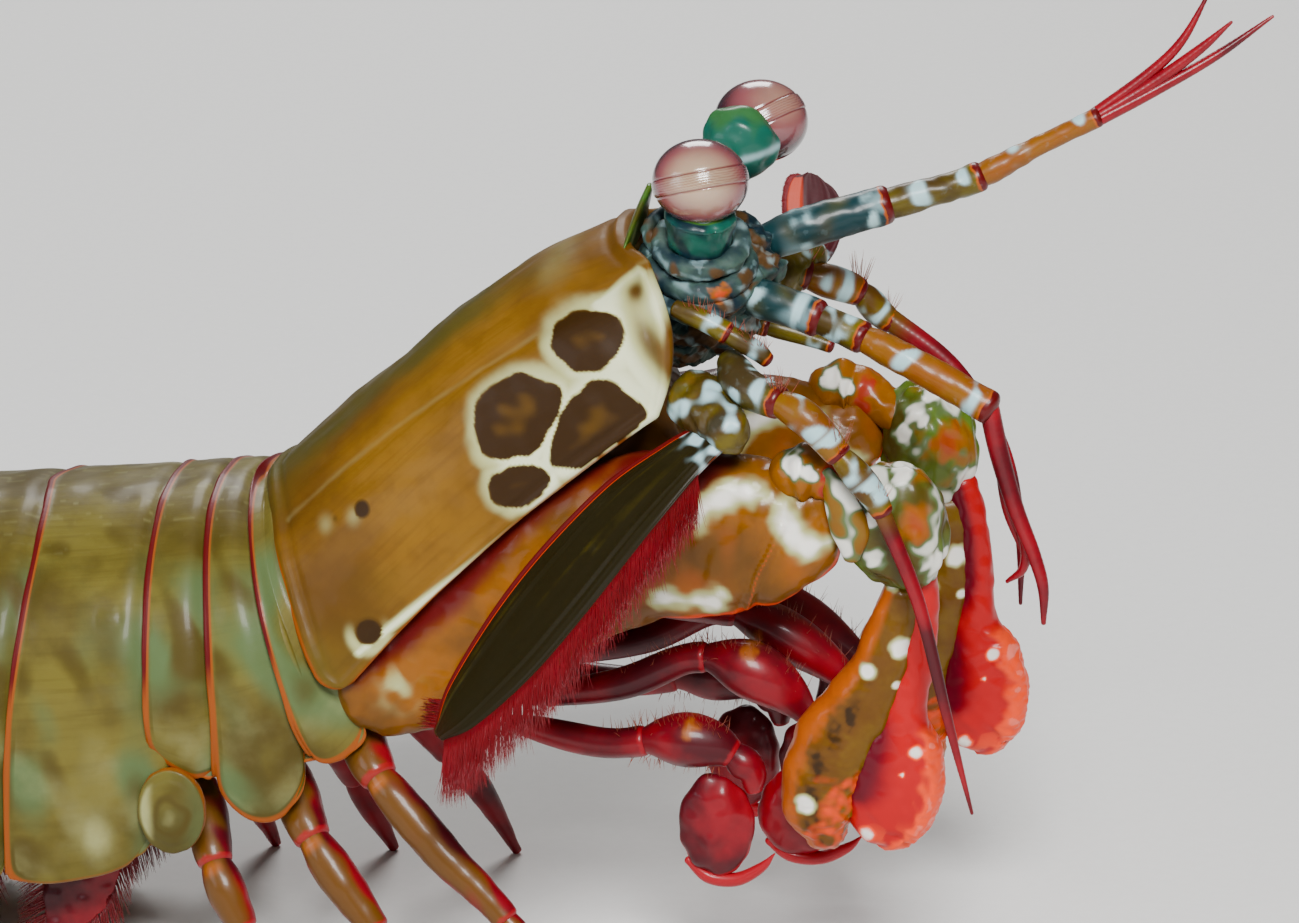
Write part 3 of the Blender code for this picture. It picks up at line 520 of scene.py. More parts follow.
def ellipsoid(centre, radii, lean=0, rings=36, around=48, bump=None):
    """Ellipsoid by latitude and longitude, leaning forward about y; bump(unit) adds height."""
    up = np.linspace(0, math.pi, rings)[:, None]
    turn = np.linspace(0, 2 * math.pi, around + 1)[None]
    unit = np.stack(np.broadcast_arrays(np.sin(up) * np.cos(turn), np.sin(up) * np.sin(turn),
                                        np.cos(up)), -1).copy()
    unit[:, -1] = unit[:, 0]
    unit[0], unit[-1] = (0, 0, 1), (0, 0, -1)
    points = unit * radii
    if bump is not None:
        points = points * (1 + bump(unit) / np.mean(radii))[..., None]
    a = math.radians(lean)
    x, z = points[..., 0].copy(), points[..., 2].copy()
    points[..., 0] = x * math.cos(a) + z * math.sin(a)
    points[..., 2] = z * math.cos(a) - x * math.sin(a)
    points += centre
    return Sheet(points, blank(points), points.copy())


def shell(outer, inner, marks, flow, bulge=0.3):
    """Closed shell from its outer and inner skins: the two are joined round both side
    margins by half an ellipse, and at both ends they round over onto the wall's middle."""
    start, stop = normed(outer[0] - outer[1]), normed(outer[-1] - outer[-2])

    def round_over(skin, other, way):
        middle = (skin + other) / 2
        return [skin + (middle - skin) * (1 - math.cos(t)) + way * bulge * math.sin(t)
                for t in END_TURNS]

    def with_ends(skin, other):
        return np.concatenate([round_over(skin[0], other[0], start)[::-1], skin,
                               round_over(skin[-1], other[-1], stop)])

    outer_rows, inner_rows = with_ends(outer, inner), with_ends(inner, outer)
    marks, flow = padded(marks, len(END_TURNS)), padded(flow, len(END_TURNS))
    sides = []
    for k, near in ((-1, -2), (0, 1)):
        way = normed(outer_rows[:, k] - outer_rows[:, near])
        a, b = outer_rows[:, k], inner_rows[:, k]
        wall = np.linalg.norm(a - b, axis=-1, keepdims=True)
        arc = [a * (1 + math.cos(t)) / 2 + b * (1 - math.cos(t)) / 2
               + way * np.minimum(bulge, wall) * math.sin(t)
               for t in SIDE_TURNS]
        sides.append(np.stack(arc, 1))
    points = np.concatenate([outer_rows, sides[0], inner_rows[:, ::-1], sides[1][:, ::-1],
                             outer_rows[:, :1]], 1)
    hidden = marks[:, ::-1].copy()
    hidden[..., [PALE, DARK]] *= 0.2
    turns = len(SIDE_TURNS)
    marks, flow = (np.concatenate([v, v[:, -1:].repeat(turns, 1), inside,
                                   v[:, :1].repeat(turns + 1, 1)], 1)
                   for v, inside in ((marks, hidden), (flow, flow[:, ::-1])))
    return Sheet(points, marks, flow)


# Materials

def feed(tree, node, inputs):
    """Set a node's inputs to values, or link them to sockets."""
    for key, value in inputs.items():
        if isinstance(value, bpy.types.NodeSocket):
            tree.links.new(value, node.inputs[key])
        else:
            node.inputs[key].default_value = value


def add(tree, kind, inputs=None, **settings):
    """Add a node with its settings and its inputs."""
    node = tree.nodes.new(kind)
    for key, value in settings.items():
        setattr(node, key, value)
    feed(tree, node, inputs or {})
    return node


def fresh(name):
    """A new material with its node tree, its shader and Object coordinates."""
    material = bpy.data.materials.new(name)
    material.use_nodes = True
    tree = material.node_tree
    shader = tree.nodes["Principled BSDF"]
    place = add(tree, "ShaderNodeTexCoord").outputs["Object"]
    return material, tree, shader, place


def mix(tree, factor, a, b):
    """Colour a turned towards b by factor."""
    return add(tree, "ShaderNodeMix", {0: factor, 6: a, 7: b}, data_type="RGBA").outputs[2]


def ramp(tree, value, low, high):
    """0 below low to 1 above high, eased."""
    return add(tree, "ShaderNodeMapRange", {0: value, 1: low, 2: high},
               interpolation_type="SMOOTHSTEP").outputs[0]


def maths(tree, kind, a, b):
    """One sum on two values."""
    return add(tree, "ShaderNodeMath", {0: a, 1: b}, operation=kind).outputs[0]


def noise(tree, where, millimetres, detail=3, metres=True):
    """Cloud noise whose lumps are about this many millimetres across."""
    scale = 1 / (millimetres * MM) if metres else 1 / millimetres
    return add(tree, "ShaderNodeTexNoise", {"Vector": where, "Scale": scale * 0.5,
                                            "Detail": detail}).outputs["Fac"]


def read_marks(tree):
    """The marks at the point that is being shaded: pale, dark, rim and cool."""
    marks = add(tree, "ShaderNodeAttribute", attribute_name="marks").outputs
    return (*add(tree, "ShaderNodeSeparateColor", {"Color": marks["Color"]}).outputs, marks["Alpha"])


def cuticle(name, base, shade, pale="white", edge="spot_edge", dark="spot", band="band",
            line="line", cool="teal", mottle=3, streak=0, grain=0.35, depth=0.02,
            specks=0, roughness=0.42, coat=0.12, glow=0.08, ragged=0.1, gloss=0.22, halo=None):
    """Shell that reads the marks: a mottled base, the cool tint, dark patches with an edge,
    pale patches with a halo, a rim of band and line, fine specks, and a grain that is in
    the bump as well. Mottle and grain are in millimetres, and so is the bump's depth."""
    material, tree, shader, place = fresh(name)
    pale_mark, dark_mark, rim_mark, cool_mark = read_marks(tree)
    flow = add(tree, "ShaderNodeAttribute", attribute_name="flow").outputs["Vector"]
    broad = noise(tree, place, mottle, 5)
    fine = noise(tree, place, 0.9, 3)
    stretched = add(tree, "ShaderNodeMapping", {"Vector": flow, "Scale": (0.22, 3.4, 1)})
    hair = noise(tree, stretched.outputs[0], 1, 4, metres=False)
    skin = mix(tree, ramp(tree, broad, 0.36, 0.64), tint(base), tint(shade))
    skin = mix(tree, maths(tree, "MULTIPLY", ramp(tree, fine, 0.45, 0.72), 0.3), skin, tint(shade))
    skin = mix(tree, maths(tree, "MULTIPLY", ramp(tree, hair, 0.45, 0.7), streak), skin, tint(shade))
    ragged_by = maths(tree, "MULTIPLY", maths(tree, "SUBTRACT", fine, 0.5), ragged * 2)
    second = maths(tree, "ADD", cool_mark, ragged_by)
    skin = mix(tree, ramp(tree, second, 0.1, 0.9), skin, tint(cool))
    deep = maths(tree, "ADD", dark_mark, ragged_by)
    skin = mix(tree, ramp(tree, deep, 0.08, 0.45), skin, tint(edge))
    skin = mix(tree, ramp(tree, deep, 0.4, 0.75), skin, tint(dark))
    white = maths(tree, "ADD", pale_mark, ragged_by)
    skin = mix(tree, ramp(tree, white, 0.03, 0.5), skin, tint(halo or pale))
    skin = mix(tree, ramp(tree, white, 0.4, 0.95), skin, tint(pale))
    skin = mix(tree, ramp(tree, rim_mark, 0.3, 0.6), skin, tint(band))
    skin = mix(tree, ramp(tree, rim_mark, 0.66, 0.8), skin, tint(line))
    grainy = noise(tree, place, grain, 2)
    if specks:
        dots = maths(tree, "MULTIPLY", ramp(tree, grainy, 0.62, 0.7), specks)
        skin = mix(tree, dots, skin, tint(pale))
    rough = add(tree, "ShaderNodeMapRange", {0: broad, 1: 0.3, 2: 0.7, 3: roughness - 0.06,
                                             4: roughness + 0.08})
    height = maths(tree, "ADD", maths(tree, "MULTIPLY", grainy, 0.6),
                   maths(tree, "MULTIPLY", hair, 0.3 + streak))
    bump = add(tree, "ShaderNodeBump", {"Strength": 0.6, "Distance": depth * MM * 2,
                                        "Height": height})
    feed(tree, shader, {
        "Base Color": skin, "Roughness": rough.outputs[0], "Normal": bump.outputs[0], "IOR": 1.52,
        "Specular IOR Level": gloss, "Coat Weight": coat, "Coat Roughness": 0.14,
        "Subsurface Weight": glow, "Subsurface Radius": (1, 0.4, 0.2),
        "Subsurface Scale": 1.6 * MM})
    return material


def carapace_shell():
    # Calcified cuticle under a waxy skin: a soft sheen, broad mottling, fine pits; its cool tint is painted
    # shade of dark olive along the crest and a green tint low at the rear
    return cuticle("waxed_shell_spotted", "carapace", "carapace_shade", pale="net", halo="plate_cream",
                   edge="spot", dark="spot_edge", cool="carapace_top", mottle=7, streak=0.3,
                   roughness=0.48, coat=0.04, ragged=0.05, gloss=0.15)


def plate_shell():
    # Thinner calcified plates: long fibres show as streaks, and the rear edge is dyed
    return cuticle("waxed_shell_banded", "plate", "plate_shade", pale="plate_cream",
                   cool="plate_cool", edge="plate_shade", dark="carapace_shade", mottle=4,
                   streak=0.3, roughness=0.46, coat=0.08, gloss=0.17)


def tail_shell():
    # Thick spiny plate: blue-green pigment over olive, rougher from wear on the burrow wall
    return cuticle("waxed_shell_tail", "tail", "tail_shade", pale="ice", cool="olive",
                   mottle=3, streak=0.5, roughness=0.46, coat=0.1, depth=0.04)


def head_shell():
    # Rough, folded cuticle of the head: patchy pigment, low gloss
    return cuticle("rough_shell_head", "head", "navy", pale="ice", cool="head_brown",
                   edge="amber", dark="flame", mottle=1.4, grain=0.5, depth=0.09, specks=0.15,
                   roughness=0.55, coat=0.05)


def stalk_shell():
    # Thin smooth cuticle over blue-green tissue: clear gloss, soft edges between colours
    return cuticle("thin_shell_teal", "teal", "teal", pale="ice", edge="navy", dark="navy",
                   band="leaf", line="ice", cool="navy", mottle=2.4, roughness=0.36, coat=0.2,
                   glow=0.15)


def rostral_shell():
    # The same thin cuticle over green tissue, with a pale edge
    return cuticle("thin_shell_green", "leaf", "plate_shade", pale="plate_cream",
                   band="plate_cream", line="plate_cream", mottle=2, roughness=0.4)


def feeler_shell():
    # Hollow jointed tubes: glossy, translucent, with white and dark rings at the joints
    return cuticle("thin_shell_ringed", "olive", "olive_shade", pale="ice", edge="amber",
                   dark="amber", band="gold", line="line", cool="sea", mottle=1.8,
                   specks=0.05, roughness=0.4, coat=0.15, glow=0.12, ragged=0.05)


def scale_shell():
    # Thin stiff blade: nearly black, with streaks along it and an orange-red border
    return cuticle("thin_shell_dark", "scale", "scale", pale="ice", edge="olive", dark="olive",
                   band="flame", line="line", cool="crimson_shade", mottle=2, streak=0.4,
                   roughness=0.5, coat=0.03, gloss=0.12)


def claw_shell():
    # Heavily calcified yet translucent arm: enamel-like gloss, white lime patches
    return cuticle("enamel_shell_arm", "claw", "claw_shade", pale="white", edge="gold",
                   dark="gold", band="flame", line="line", cool="claw_pink", mottle=3.4,
                   roughness=0.36, coat=0.2, glow=0.08, ragged=0.06, gloss=0.15, halo="plate_cream")


def shaft_shell():
    # Same shell, thickly speckled with brown
    return cuticle("enamel_shell_shaft", "shaft", "claw_shade", pale="white", edge="claw_shade",
                   dark="spot_edge", band="flame", line="flame", cool="gold", mottle=1.6,
                   roughness=0.38, coat=0.16, gloss=0.15, halo="plate_cream")


def hammer_shell():
    # The hardest shell of all: smooth, deep red, worn to orange-pink where it strikes
    return cuticle("enamel_shell_hammer", "hammer", "hammer", pale="white", edge="hammer_shade",
                   dark="hammer_shade", band="club", line="club", cool="club", mottle=1.6,
                   roughness=0.38, coat=0.2, glow=0.05, ragged=0.06, gloss=0.14, halo="club")


def wrist_shell():
    # The same hard shell, marbled: olive-green, white lime and orange membrane
    return cuticle("enamel_shell_wrist", "wrist", "plate_shade", pale="white", edge="amber",
                   dark="red", band="gold", line="flame", cool="claw", mottle=2.4,
                   roughness=0.36, coat=0.2, ragged=0.05, gloss=0.16, halo="plate_cool")


def limb_shell():
    # Soft thin cuticle of the small limbs: dark, satin, crimson with lighter joints
    return cuticle("thin_shell_crimson", "crimson", "crimson_shade", pale="white", edge="leg",
                   dark="leg", band="red", line="red", cool="leg", mottle=3,
                   roughness=0.4, coat=0.2, glow=0.12, halo="amber")


def bristle_shell(name, colour_name, second):
    # Bare chitin hair: smooth, translucent, so a soft satin highlight along each
    material, tree, shader, place = fresh(name)
    shade = mix(tree, noise(tree, place, 1.5), tint(colour_name), tint(second))
    feed(tree, shader, {"Base Color": shade, "Roughness": 0.4, "Subsurface Weight": 0.1,
                        "Subsurface Scale": 0.5 * MM})
    return material


def cornea_glass():
    # Polished facets of the eye, about 0.03 mm across and drawn at 0.12 mm so that they
    # show: a mirror-like coat over cream and mauve, with the lined band across; the cream
    # middle is a painted highlight and the mauve border painted shade
    material, tree, shader, place = fresh("polished_cornea")
    pale, dark, rim, _ = read_marks(tree)
    broad = noise(tree, place, 2, 4)
    skin = mix(tree, ramp(tree, pale, 0.08, 0.58), tint("cornea_rim"), tint("cornea_pink"))
    skin = mix(tree, ramp(tree, pale, 0.48, 1), skin, tint("cornea"))
    shade = maths(tree, "MULTIPLY", ramp(tree, broad, 0.4, 0.7), 0.25)
    skin = mix(tree, shade, skin, tint("cornea_rim"))
    skin = mix(tree, maths(tree, "MULTIPLY", rim, 0.75), skin, tint("ice"))
    skin = mix(tree, dark, skin, tint("hammer_shade"))
    facets = add(tree, "ShaderNodeTexVoronoi", {"Vector": place, "Scale": 1 / (0.12 * MM)})
    bump = add(tree, "ShaderNodeBump", {"Strength": 0.25, "Distance": 0.01 * MM,
                                        "Height": facets.outputs["Distance"]})
    feed(tree, shader, {
        "Base Color": skin, "Normal": bump.outputs[0], "Roughness": 0.22, "IOR": 1.5,
        "Coat Weight": 0.8, "Coat Roughness": 0.06, "Subsurface Weight": 0.15,
        "Subsurface Scale": 1 * MM})
    return material


def floor_paper():
    # Matt seamless studio paper: pale, with a barely seen tooth of 0.5 mm
    material, tree, shader, place = fresh("studio_paper")
    tooth = noise(tree, place, 0.5, 2)
    skin = mix(tree, maths(tree, "MULTIPLY", tooth, 0.06), tint("floor"), tint("plate_shade"))
    feed(tree, shader, {"Base Color": skin, "Roughness": 0.85})
    return material


# Trunk

PLATE_ROWS = 64
PLATE_COLUMNS = 150


def arch(u, half, height):
    """Superellipse from crest to flank: side = half sin(u pi/2)^(2/p), depth = height
    (1 - cos(u pi/2)^(2/p))."""
    turn = np.clip(u, 0, 1) * math.pi / 2
    power = 2 / ARCH_POWER
    return half * np.sin(turn) ** power, height * (1 - np.cos(turn) ** power)


def lead(u, edge):
    """Forward lead of an edge: the cubic through its shoulder, flank and tip values."""
    knots = np.array([0, 0.4, 0.75, 1])
    total = np.zeros_like(u)
    for k, value in enumerate((0, edge.shoulder, edge.flank, edge.tip)):
        others = np.delete(knots, k)
        total = total + value * np.prod([(u - o) / (knots[k] - o) for o in others], axis=0)
    return total


def leaning(x, z, pitch, ahead, side, depth):
    """Points ahead, aside and below the place (x, z), in a frame pitched up by degrees."""
    a = math.radians(pitch)
    x = x + ahead * math.cos(a) + depth * math.sin(a)
    z = z + ahead * math.sin(a) - depth * math.cos(a)
    return np.stack(np.broadcast_arrays(x, side, z), axis=-1)


def edge_points(edge, flap, u, inset):
    """An edge ring, drawn inset: an arch to u = 0.75, then down the side flap."""
    size = np.abs(u)
    side, depth = arch(size / 0.75, edge.half - inset, edge.arch - inset)
    down = np.clip((size - 0.75) / 0.25, 0, 1)
    return leaning(*edge[:3], lead(size, edge), np.sign(u) * (side - 0.9 * down ** 2),
                   depth + inset + (flap - inset) * down)


def belly_points(edge, flap, belly, u):
    """Inner contour: flat flesh under the crest, then down the inside of each flap."""
    size = np.abs(u)
    down = np.clip((size - 0.62) / 0.38, 0, 1)
    side = (edge.half - 3.4) * np.clip(size / 0.62, 0, 1) + 2.3 * down
    depth = belly + (edge.arch + flap - 0.15 - belly) * down ** 1.5
    return leaning(*edge[:3], lead(size, edge), np.sign(u) * side, depth)


def plate_marks(name, outer, side, behind, ahead, below, rim_width):
    """A plate's rim along its rear and flank, green on the flank, cream below, dark streaks
    and short pale dashes above."""
    corner = 0.9 if name.startswith("thorax") else 0.5
    near = -np.log(np.exp(-behind * 2.2) + np.exp(-below * 2.2) * corner) / 2.2
    rim = np.clip(1.35 * (1 - near / rim_width), 0, 1) * (1 - 0.36 * smooth(0.45, 0.8, side))
    green = smooth(0.25, 0.5, side) * (0.3 * bell(behind, 2.6) + 0.55 * bell(ahead, 2.4))
    cool = np.clip(green + 0.4 * wobble(outer, 7, 11) * smooth(0.15, 0.6, side), 0, 0.8)
    dark = 0.4 * cloud(outer, 6, 12, -0.3, 1.5)
    # cream: pale patches low on the flank and a blot on the first abdominal plate, partly the plates' own
    # cream and partly painted highlight
    cream = smooth(0.5, 0.95, side) * np.clip(0.09 + 0.08 * wobble(outer, 7, 22), 0, 0.5)
    if name == "abdomen_1":
        blot = 0.3 * bell(outer[..., 0] + 10.8, 1.5) * bell(outer[..., 2] - 12.6, 2.2)
        cream = np.maximum(cream, blot)
    dash = cloud(outer * (0.6, 2.4, 2.4), 1.6, 21, 0.72, 0.9) * smooth(0.5, 0.15, side)
    pale = np.clip(cream + 0.13 * dash, 0, 1) * (1 - smooth(0, 0.2, rim))
    return np.stack([pale, dark * (1 - rim), rim, cool * (1 - rim)], -1)


def plate_height(name, outer, s, side, ahead):
    """A plate's relief: six long bosses on the last, two round scars on each flank of the
    other abdominal plates, and slow waves on all."""
    height = 0.05 * wobble(outer, 5, 3)
    if name == "abdomen_6":
        for place in (0.12, 0.38, 0.62):
            height = height + 0.9 * bell(side - place, 0.05) * smooth(0.1, 0.5, s) * smooth(1.04, 0.9, s)
    elif not name.startswith("thorax"):
        for place in (0.5, 0.66):
            scar = np.hypot(ahead - 2.6, (side - place) * HALF_GIRTH)
            height = height + 0.07 * bell(scar, 0.55) - 0.05 * bell(scar - 0.9, 0.2)
    return height * smooth(0, 0.08, s)


def somite(name, front, rear):
    """One plate with its flesh: rings blended from the front edge to the rear edge. The
    front is inset and runs under the plate before it; the rear rises in a lip and rolls
    over; a rounded lobe closes the flank."""
    size = sizes()
    flap_front, flap_rear, extra, belly = SOMITES[name]
    run = math.hypot(front.x - rear.x, front.z - rear.z) + 1.5
    u = np.linspace(-1, 1, PLATE_COLUMNS)
    u = np.sign(u) * (1 - (1 - np.abs(u)) ** 1.15)
    s = np.concatenate([[-size.tuck / run], np.linspace(-0.6 * size.tuck / run, 1, PLATE_ROWS)])
    inset = 0.5 * bell(np.clip(s, 0, 1) * run, 1) - size.lip * bell((1 - s) * run, 0.45)
    roll = np.linspace(0, math.pi, 7)[1:]
    s = np.concatenate([s, 1 + 0.2 * np.sin(roll) / run])
    inset = np.concatenate([inset, inset[-1] + 0.2 * (1 - np.cos(roll))])
    inside = np.clip(s, 0, 1)
    flap = (flap_front * (1 - inside) + flap_rear * inside
            + extra * np.sin(math.pi * inside) ** 0.45)
    s, inset, flap, u = s[:, None], inset[:, None], flap[:, None], u[None]
    side = np.abs(u)
    pinch = {"thorax_6": 0.2, "thorax_7": 0.1}.get(name, 0.04)
    blend = 0.5 + (s - 0.5) * (1 - pinch * np.clip((side - 0.75) / 0.25, 0, 1) ** 3)
    blend = blend[..., None]
    outer = (edge_points(front, flap, u, inset) * (1 - blend)
             + edge_points(rear, flap, u, inset) * blend)
    outer[..., 1] *= 1 + 0.02 * np.sin(math.pi * np.clip(s, 0, 1))
    inner = (belly_points(front, flap, belly, u) * (1 - blend)
             + belly_points(rear, flap, belly, u) * blend)
    span = np.linalg.norm(edge_points(front, flap, u, 0) - edge_points(rear, flap, u, 0), axis=-1)
    behind, ahead = (1 - np.minimum(s, 1)) * span, np.clip(s, 0, 1) * span
    marks = plate_marks(name, outer, side, behind, ahead, (1 - side) / 0.25 * flap, size.rim)
    along = np.cumsum(np.linalg.norm(np.diff(outer, axis=0, prepend=outer[:1]), axis=-1), 0)
    flow = np.stack(np.broadcast_arrays(along, u * HALF_GIRTH, 0 * along), -1)
    outer = relief(outer, plate_height(name, outer, s, side, ahead))
    return shell(outer, inner, marks, flow, bulge=0.3)


def carapace_half(t):
    """Half width of the carapace at the share t of its length."""
    return REAR_HALF_WIDTH - (REAR_HALF_WIDTH - FRONT_HALF_WIDTH) * t ** 1.1


def crown(t):
    """Height of the carapace's crown at the share t of its length: a sin(pi t^1.6)."""
    return CARAPACE_CROWN * np.sin(math.pi * t ** 1.6)


def carapace_grid(s, u, inset=0):
    """Carapace skin: s from rear to front, u from crest to margin; the arch of each ring
    narrows to the front, under the crown. Also returns ahead and depth."""
    size = np.abs(u)
    rear = 0.4 + 10 * size ** 2 / (size + 0.12) - 20 * size ** 2 + 9 * size ** 3
    corner = 2.2
    rise = np.minimum(CARAPACE_ARCH * (math.pi / 2 * (1 - np.minimum(size, 1))) ** 0.93, corner)
    rear = rear + corner - np.sqrt(corner ** 2 - (corner - rise) ** 2)
    front = (CARAPACE_LENGTH + 0.5 + 1.3 * size ** 2 - 5.2 * size ** 5 - 0.6 * size ** 20
             - 0.9 * smooth(0.44, 0.22, size))
    ahead = rear + (front - rear) * s
    t = np.clip(ahead / CARAPACE_LENGTH, 0, 1)
    height = CARAPACE_ARCH - 8 * t + 5.2 * t ** 2 - inset * 0.3
    side, fall = arch(size, carapace_half(t) - inset, height)
    depth = fall + inset * (1 - size) - crown(t) * (1 - size ** 2)
    return leaning(*CARAPACE_REAR, CARAPACE_PITCH, ahead, np.sign(u) * side, depth), ahead, depth


# The carapace's pattern on each side, as ahead and depth in millimetres
SPOTS = [
    [(25.9, 3.2), (27.1, 2.3), (29.1, 2.7), (30.4, 4), (30.5, 5.3), (29.3, 6.1), (27.6, 6.1),
     (26.3, 4.9)],
    [(17.7, 6), (19.1, 3.5), (21, 3.1), (23.1, 3.7), (24.5, 5.4), (24.3, 6.5), (22.5, 7.6), (20.5, 8.2),
     (18.6, 7.2)],
    [(21.9, 8.8), (24.7, 7), (27.5, 6.9), (28.6, 9.2), (28.5, 10.7), (25.4, 11.1), (22.9, 10.9),
     (21.5, 9.9)],
    [(17, 8.3), (18.4, 8.1), (20, 8.8), (20.6, 9.9), (20.3, 10.6), (19, 10.9), (17.3, 10.4),
     (16.6, 9.3)],
]
WHITE_ZONE = [(33.3, 2.6), (30.2, 2.7), (26.8, 2.3), (23.2, 3.1), (20.2, 3.1), (18.5, 3.9),
              (17.3, 5.5), (16.9, 7.1), (16.5, 9.3), (17, 11.4), (20, 11.9), (24, 11.9),
              (28, 11.7), (30.4, 10.4), (32, 8), (33.6, 5)]
PALE_MARGIN = [(31, 10.7), (29.8, 11.4), (21.7, 11.7), (15, 12), (7.7, 12.3), (2.2, 12.6)]
GROOVE = [(34.5, 2.2), (30.3, 2.4), (25, 2), (20.4, 1.8), (13.6, 1.6), (7.4, 1.9), (2, 2.5)]
# The eyespot at the rear, and two dots on the flank with their strengths: ahead, depth, radius
REAR_SPOT = (3.7, 11.8, 1.1)
DOTS = ((7.9, 4.8, 0.62, 0.8), (5.7, 4.3, 0.3, 0.4))


def spot_marks(ahead, depth, points, rough):
    """How dark the carapace's spots are, how light inside, and how far the nearest is."""
    dark, inside = np.zeros_like(ahead), np.zeros_like(ahead)
    near = np.full_like(ahead, 1e9)
    for spot in SPOTS:
        far = outside(ahead, depth, outline(np.array(spot)))
        inside = np.maximum(inside, smooth(0.2, -2.2, far) * (0.47 - 0.08 * wobble(points, 1.8, 10)))
        dark = np.maximum(dark, smooth(0.5, -0.3, far + rough))
        near = np.minimum(near, far)
    return dark, inside, near


def net_marks(ahead, depth, near, zone, rough):
    """The pale net between the spots: strong and sharp below, faint and soft above."""
    above = smooth(9, 4, depth) * smooth(32, 27, ahead) + smooth(19.5, 17, ahead)
    above = np.clip(above, 0, 1)
    soft = 0.6 + 1.9 * above
    reach = 1.6 + 1.5 * smooth(24, 28, ahead)
    pale = (smooth(soft, -soft * 0.5, zone + rough) * smooth(reach, 0.1 * reach, near + rough)
            * (1 - 0.45 * above))
    return np.maximum(pale, smooth(0.6, 0, zone) * smooth(28.5, 30, ahead) * 0.9)


def dot_marks(ahead, depth, pale, dark, rough):
    """Add the eyespot at the rear, pale round its front, and the two dots of the flank."""
    x, d, r = REAR_SPOT
    far = np.hypot(ahead - x, depth - d)
    dark = np.maximum(dark, smooth(r + 0.3, r - 0.7, far + 0.4 * rough))
    turned = (depth - d + 0.5 * (x - ahead)) / np.maximum(far, 0.1)
    pale = np.maximum(pale, 0.5 * bell(far - r - 0.25, 0.5) * smooth(-1.1, 0.6, turned))
    for x, d, r, strength in DOTS:
        far = np.hypot(ahead - x, depth - d)
        dark = np.maximum(dark, strength * smooth(r + 0.2, r - 0.3, far + 0.3 * rough))
        pale = np.maximum(pale, 0.22 * bell(np.hypot(ahead - x + 0.8, depth - d), 0.8))
    return pale, dark


def carapace_marks(ahead, depth, s, size, points, rim_width):
    """Where the carapace is pale, dark, rimmed and green, from distances to the outlines;
    and the groove's distance."""
    rough = 0.09 * wobble(points, 2, 7) + 0.02 * wobble(points, 0.7, 8)
    dark, inside, near = spot_marks(ahead, depth, points, rough)
    zone = outside(ahead, depth, outline(np.array(WHITE_ZONE), 64))
    front_bud = np.exp(-(((ahead - 31.9) / 1.25) ** 2 + ((depth - 7.3) / 3.5) ** 2) ** 1.3)
    top_bud = bell(np.hypot(ahead - 32.7, depth - 3.5), 1)
    pale = net_marks(ahead, depth, near, zone, rough) * (1 - 0.9 * front_bud) * (1 - 0.95 * top_bud)
    pale, dark = dot_marks(ahead, depth, pale, dark, rough)
    margin = outside(ahead, depth, PALE_MARGIN, closed=False)
    pale = np.maximum(pale, 0.95 * bell(margin, 0.32) * smooth(0.8, 0.9, size))
    # A faint pale patch on the top near the front: a painted highlight
    pale = np.maximum(pale, 0.16 * bell(np.hypot(ahead - 27.9, (depth + 0.7) * 1.6), 2.4))
    groove = outside(ahead, depth, GROOVE, closed=False)
    gold = bell(groove, 0.22) * smooth(0.3, 0.38, size) * smooth(0.58, 0.5, size)
    pale = np.maximum(pale, 0.13 * gold) * (1 - smooth(0.3, 0.6, dark))
    dark = np.maximum(dark, 0.46 * front_bud * smooth(0, -0.6, zone))
    dark = np.maximum(dark, 0.52 * top_bud) * (1 - inside)
    below = (1 - size) * HALF_GIRTH
    rim = 0.62 * np.clip(1 - np.minimum(below, s * HALF_GIRTH) / (0.8 * rim_width), 0, 1)
    rim = np.maximum(rim * smooth(0.3, 0.6, size) * smooth(20, 8, ahead),
                     0.5 * np.clip(1 - below / 0.5, 0, 1) * smooth(31, 26, ahead))
    # cool: a green tint low at the rear and along the rear edge, and painted shade of dark olive along the
    # crest
    cool = (0.3 * smooth(6, 12, depth) * smooth(14, 4, ahead) + 0.25 * bell(s, 0.05)
            + 0.62 * smooth(0.46, 0.12, size) * smooth(33, 24, ahead))
    cool = np.clip(cool + 0.12 * wobble(points, 8, 9), 0, 0.7) * (1 - rim)
    return np.stack([pale, dark, rim, cool], -1), groove


def make_carapace():
    size = sizes()
    s = np.linspace(0, 1, 195)[:, None]
    u = np.linspace(-1, 1, 225)[None]
    u = np.sign(u) * np.abs(u) ** 0.9
    outer, ahead, depth = carapace_grid(s, u)
    side = np.abs(u) + 0 * s
    marks, groove = carapace_marks(ahead, depth, s, side, outer, size.rim)
    fold = bell(groove, 0.55) * smooth(0.28, 0.38, side) * smooth(0.6, 0.5, side)
    edge = np.minimum((1 - side) * 30, np.minimum(s, 1 - s) * 33)
    height = (-size.groove * fold + 0.16 * bell(edge - 0.45, 0.3) - 0.1 * bell(edge - 1.2, 0.35)
              + 0.12 * wobble(outer, 11, 1) + 0.03 * wobble(outer, 3, 2))
    outer = relief(outer, height)
    inner, _, _ = carapace_grid(s, u, CARAPACE_WALL)
    flow = np.stack([ahead, side * 24, 0 * ahead], -1)
    build("carapace_shell", [shell(outer, inner, marks, flow, 0.28)], carapace_shell(),
          "carapace", "carapace")


# The flesh's keel, from the flank down to the middle: side and depth
KEEL = [(6.3, 10), (5.4, 12.4), (4.6, 15.2), (3, 16.3), (0, 16.6)]


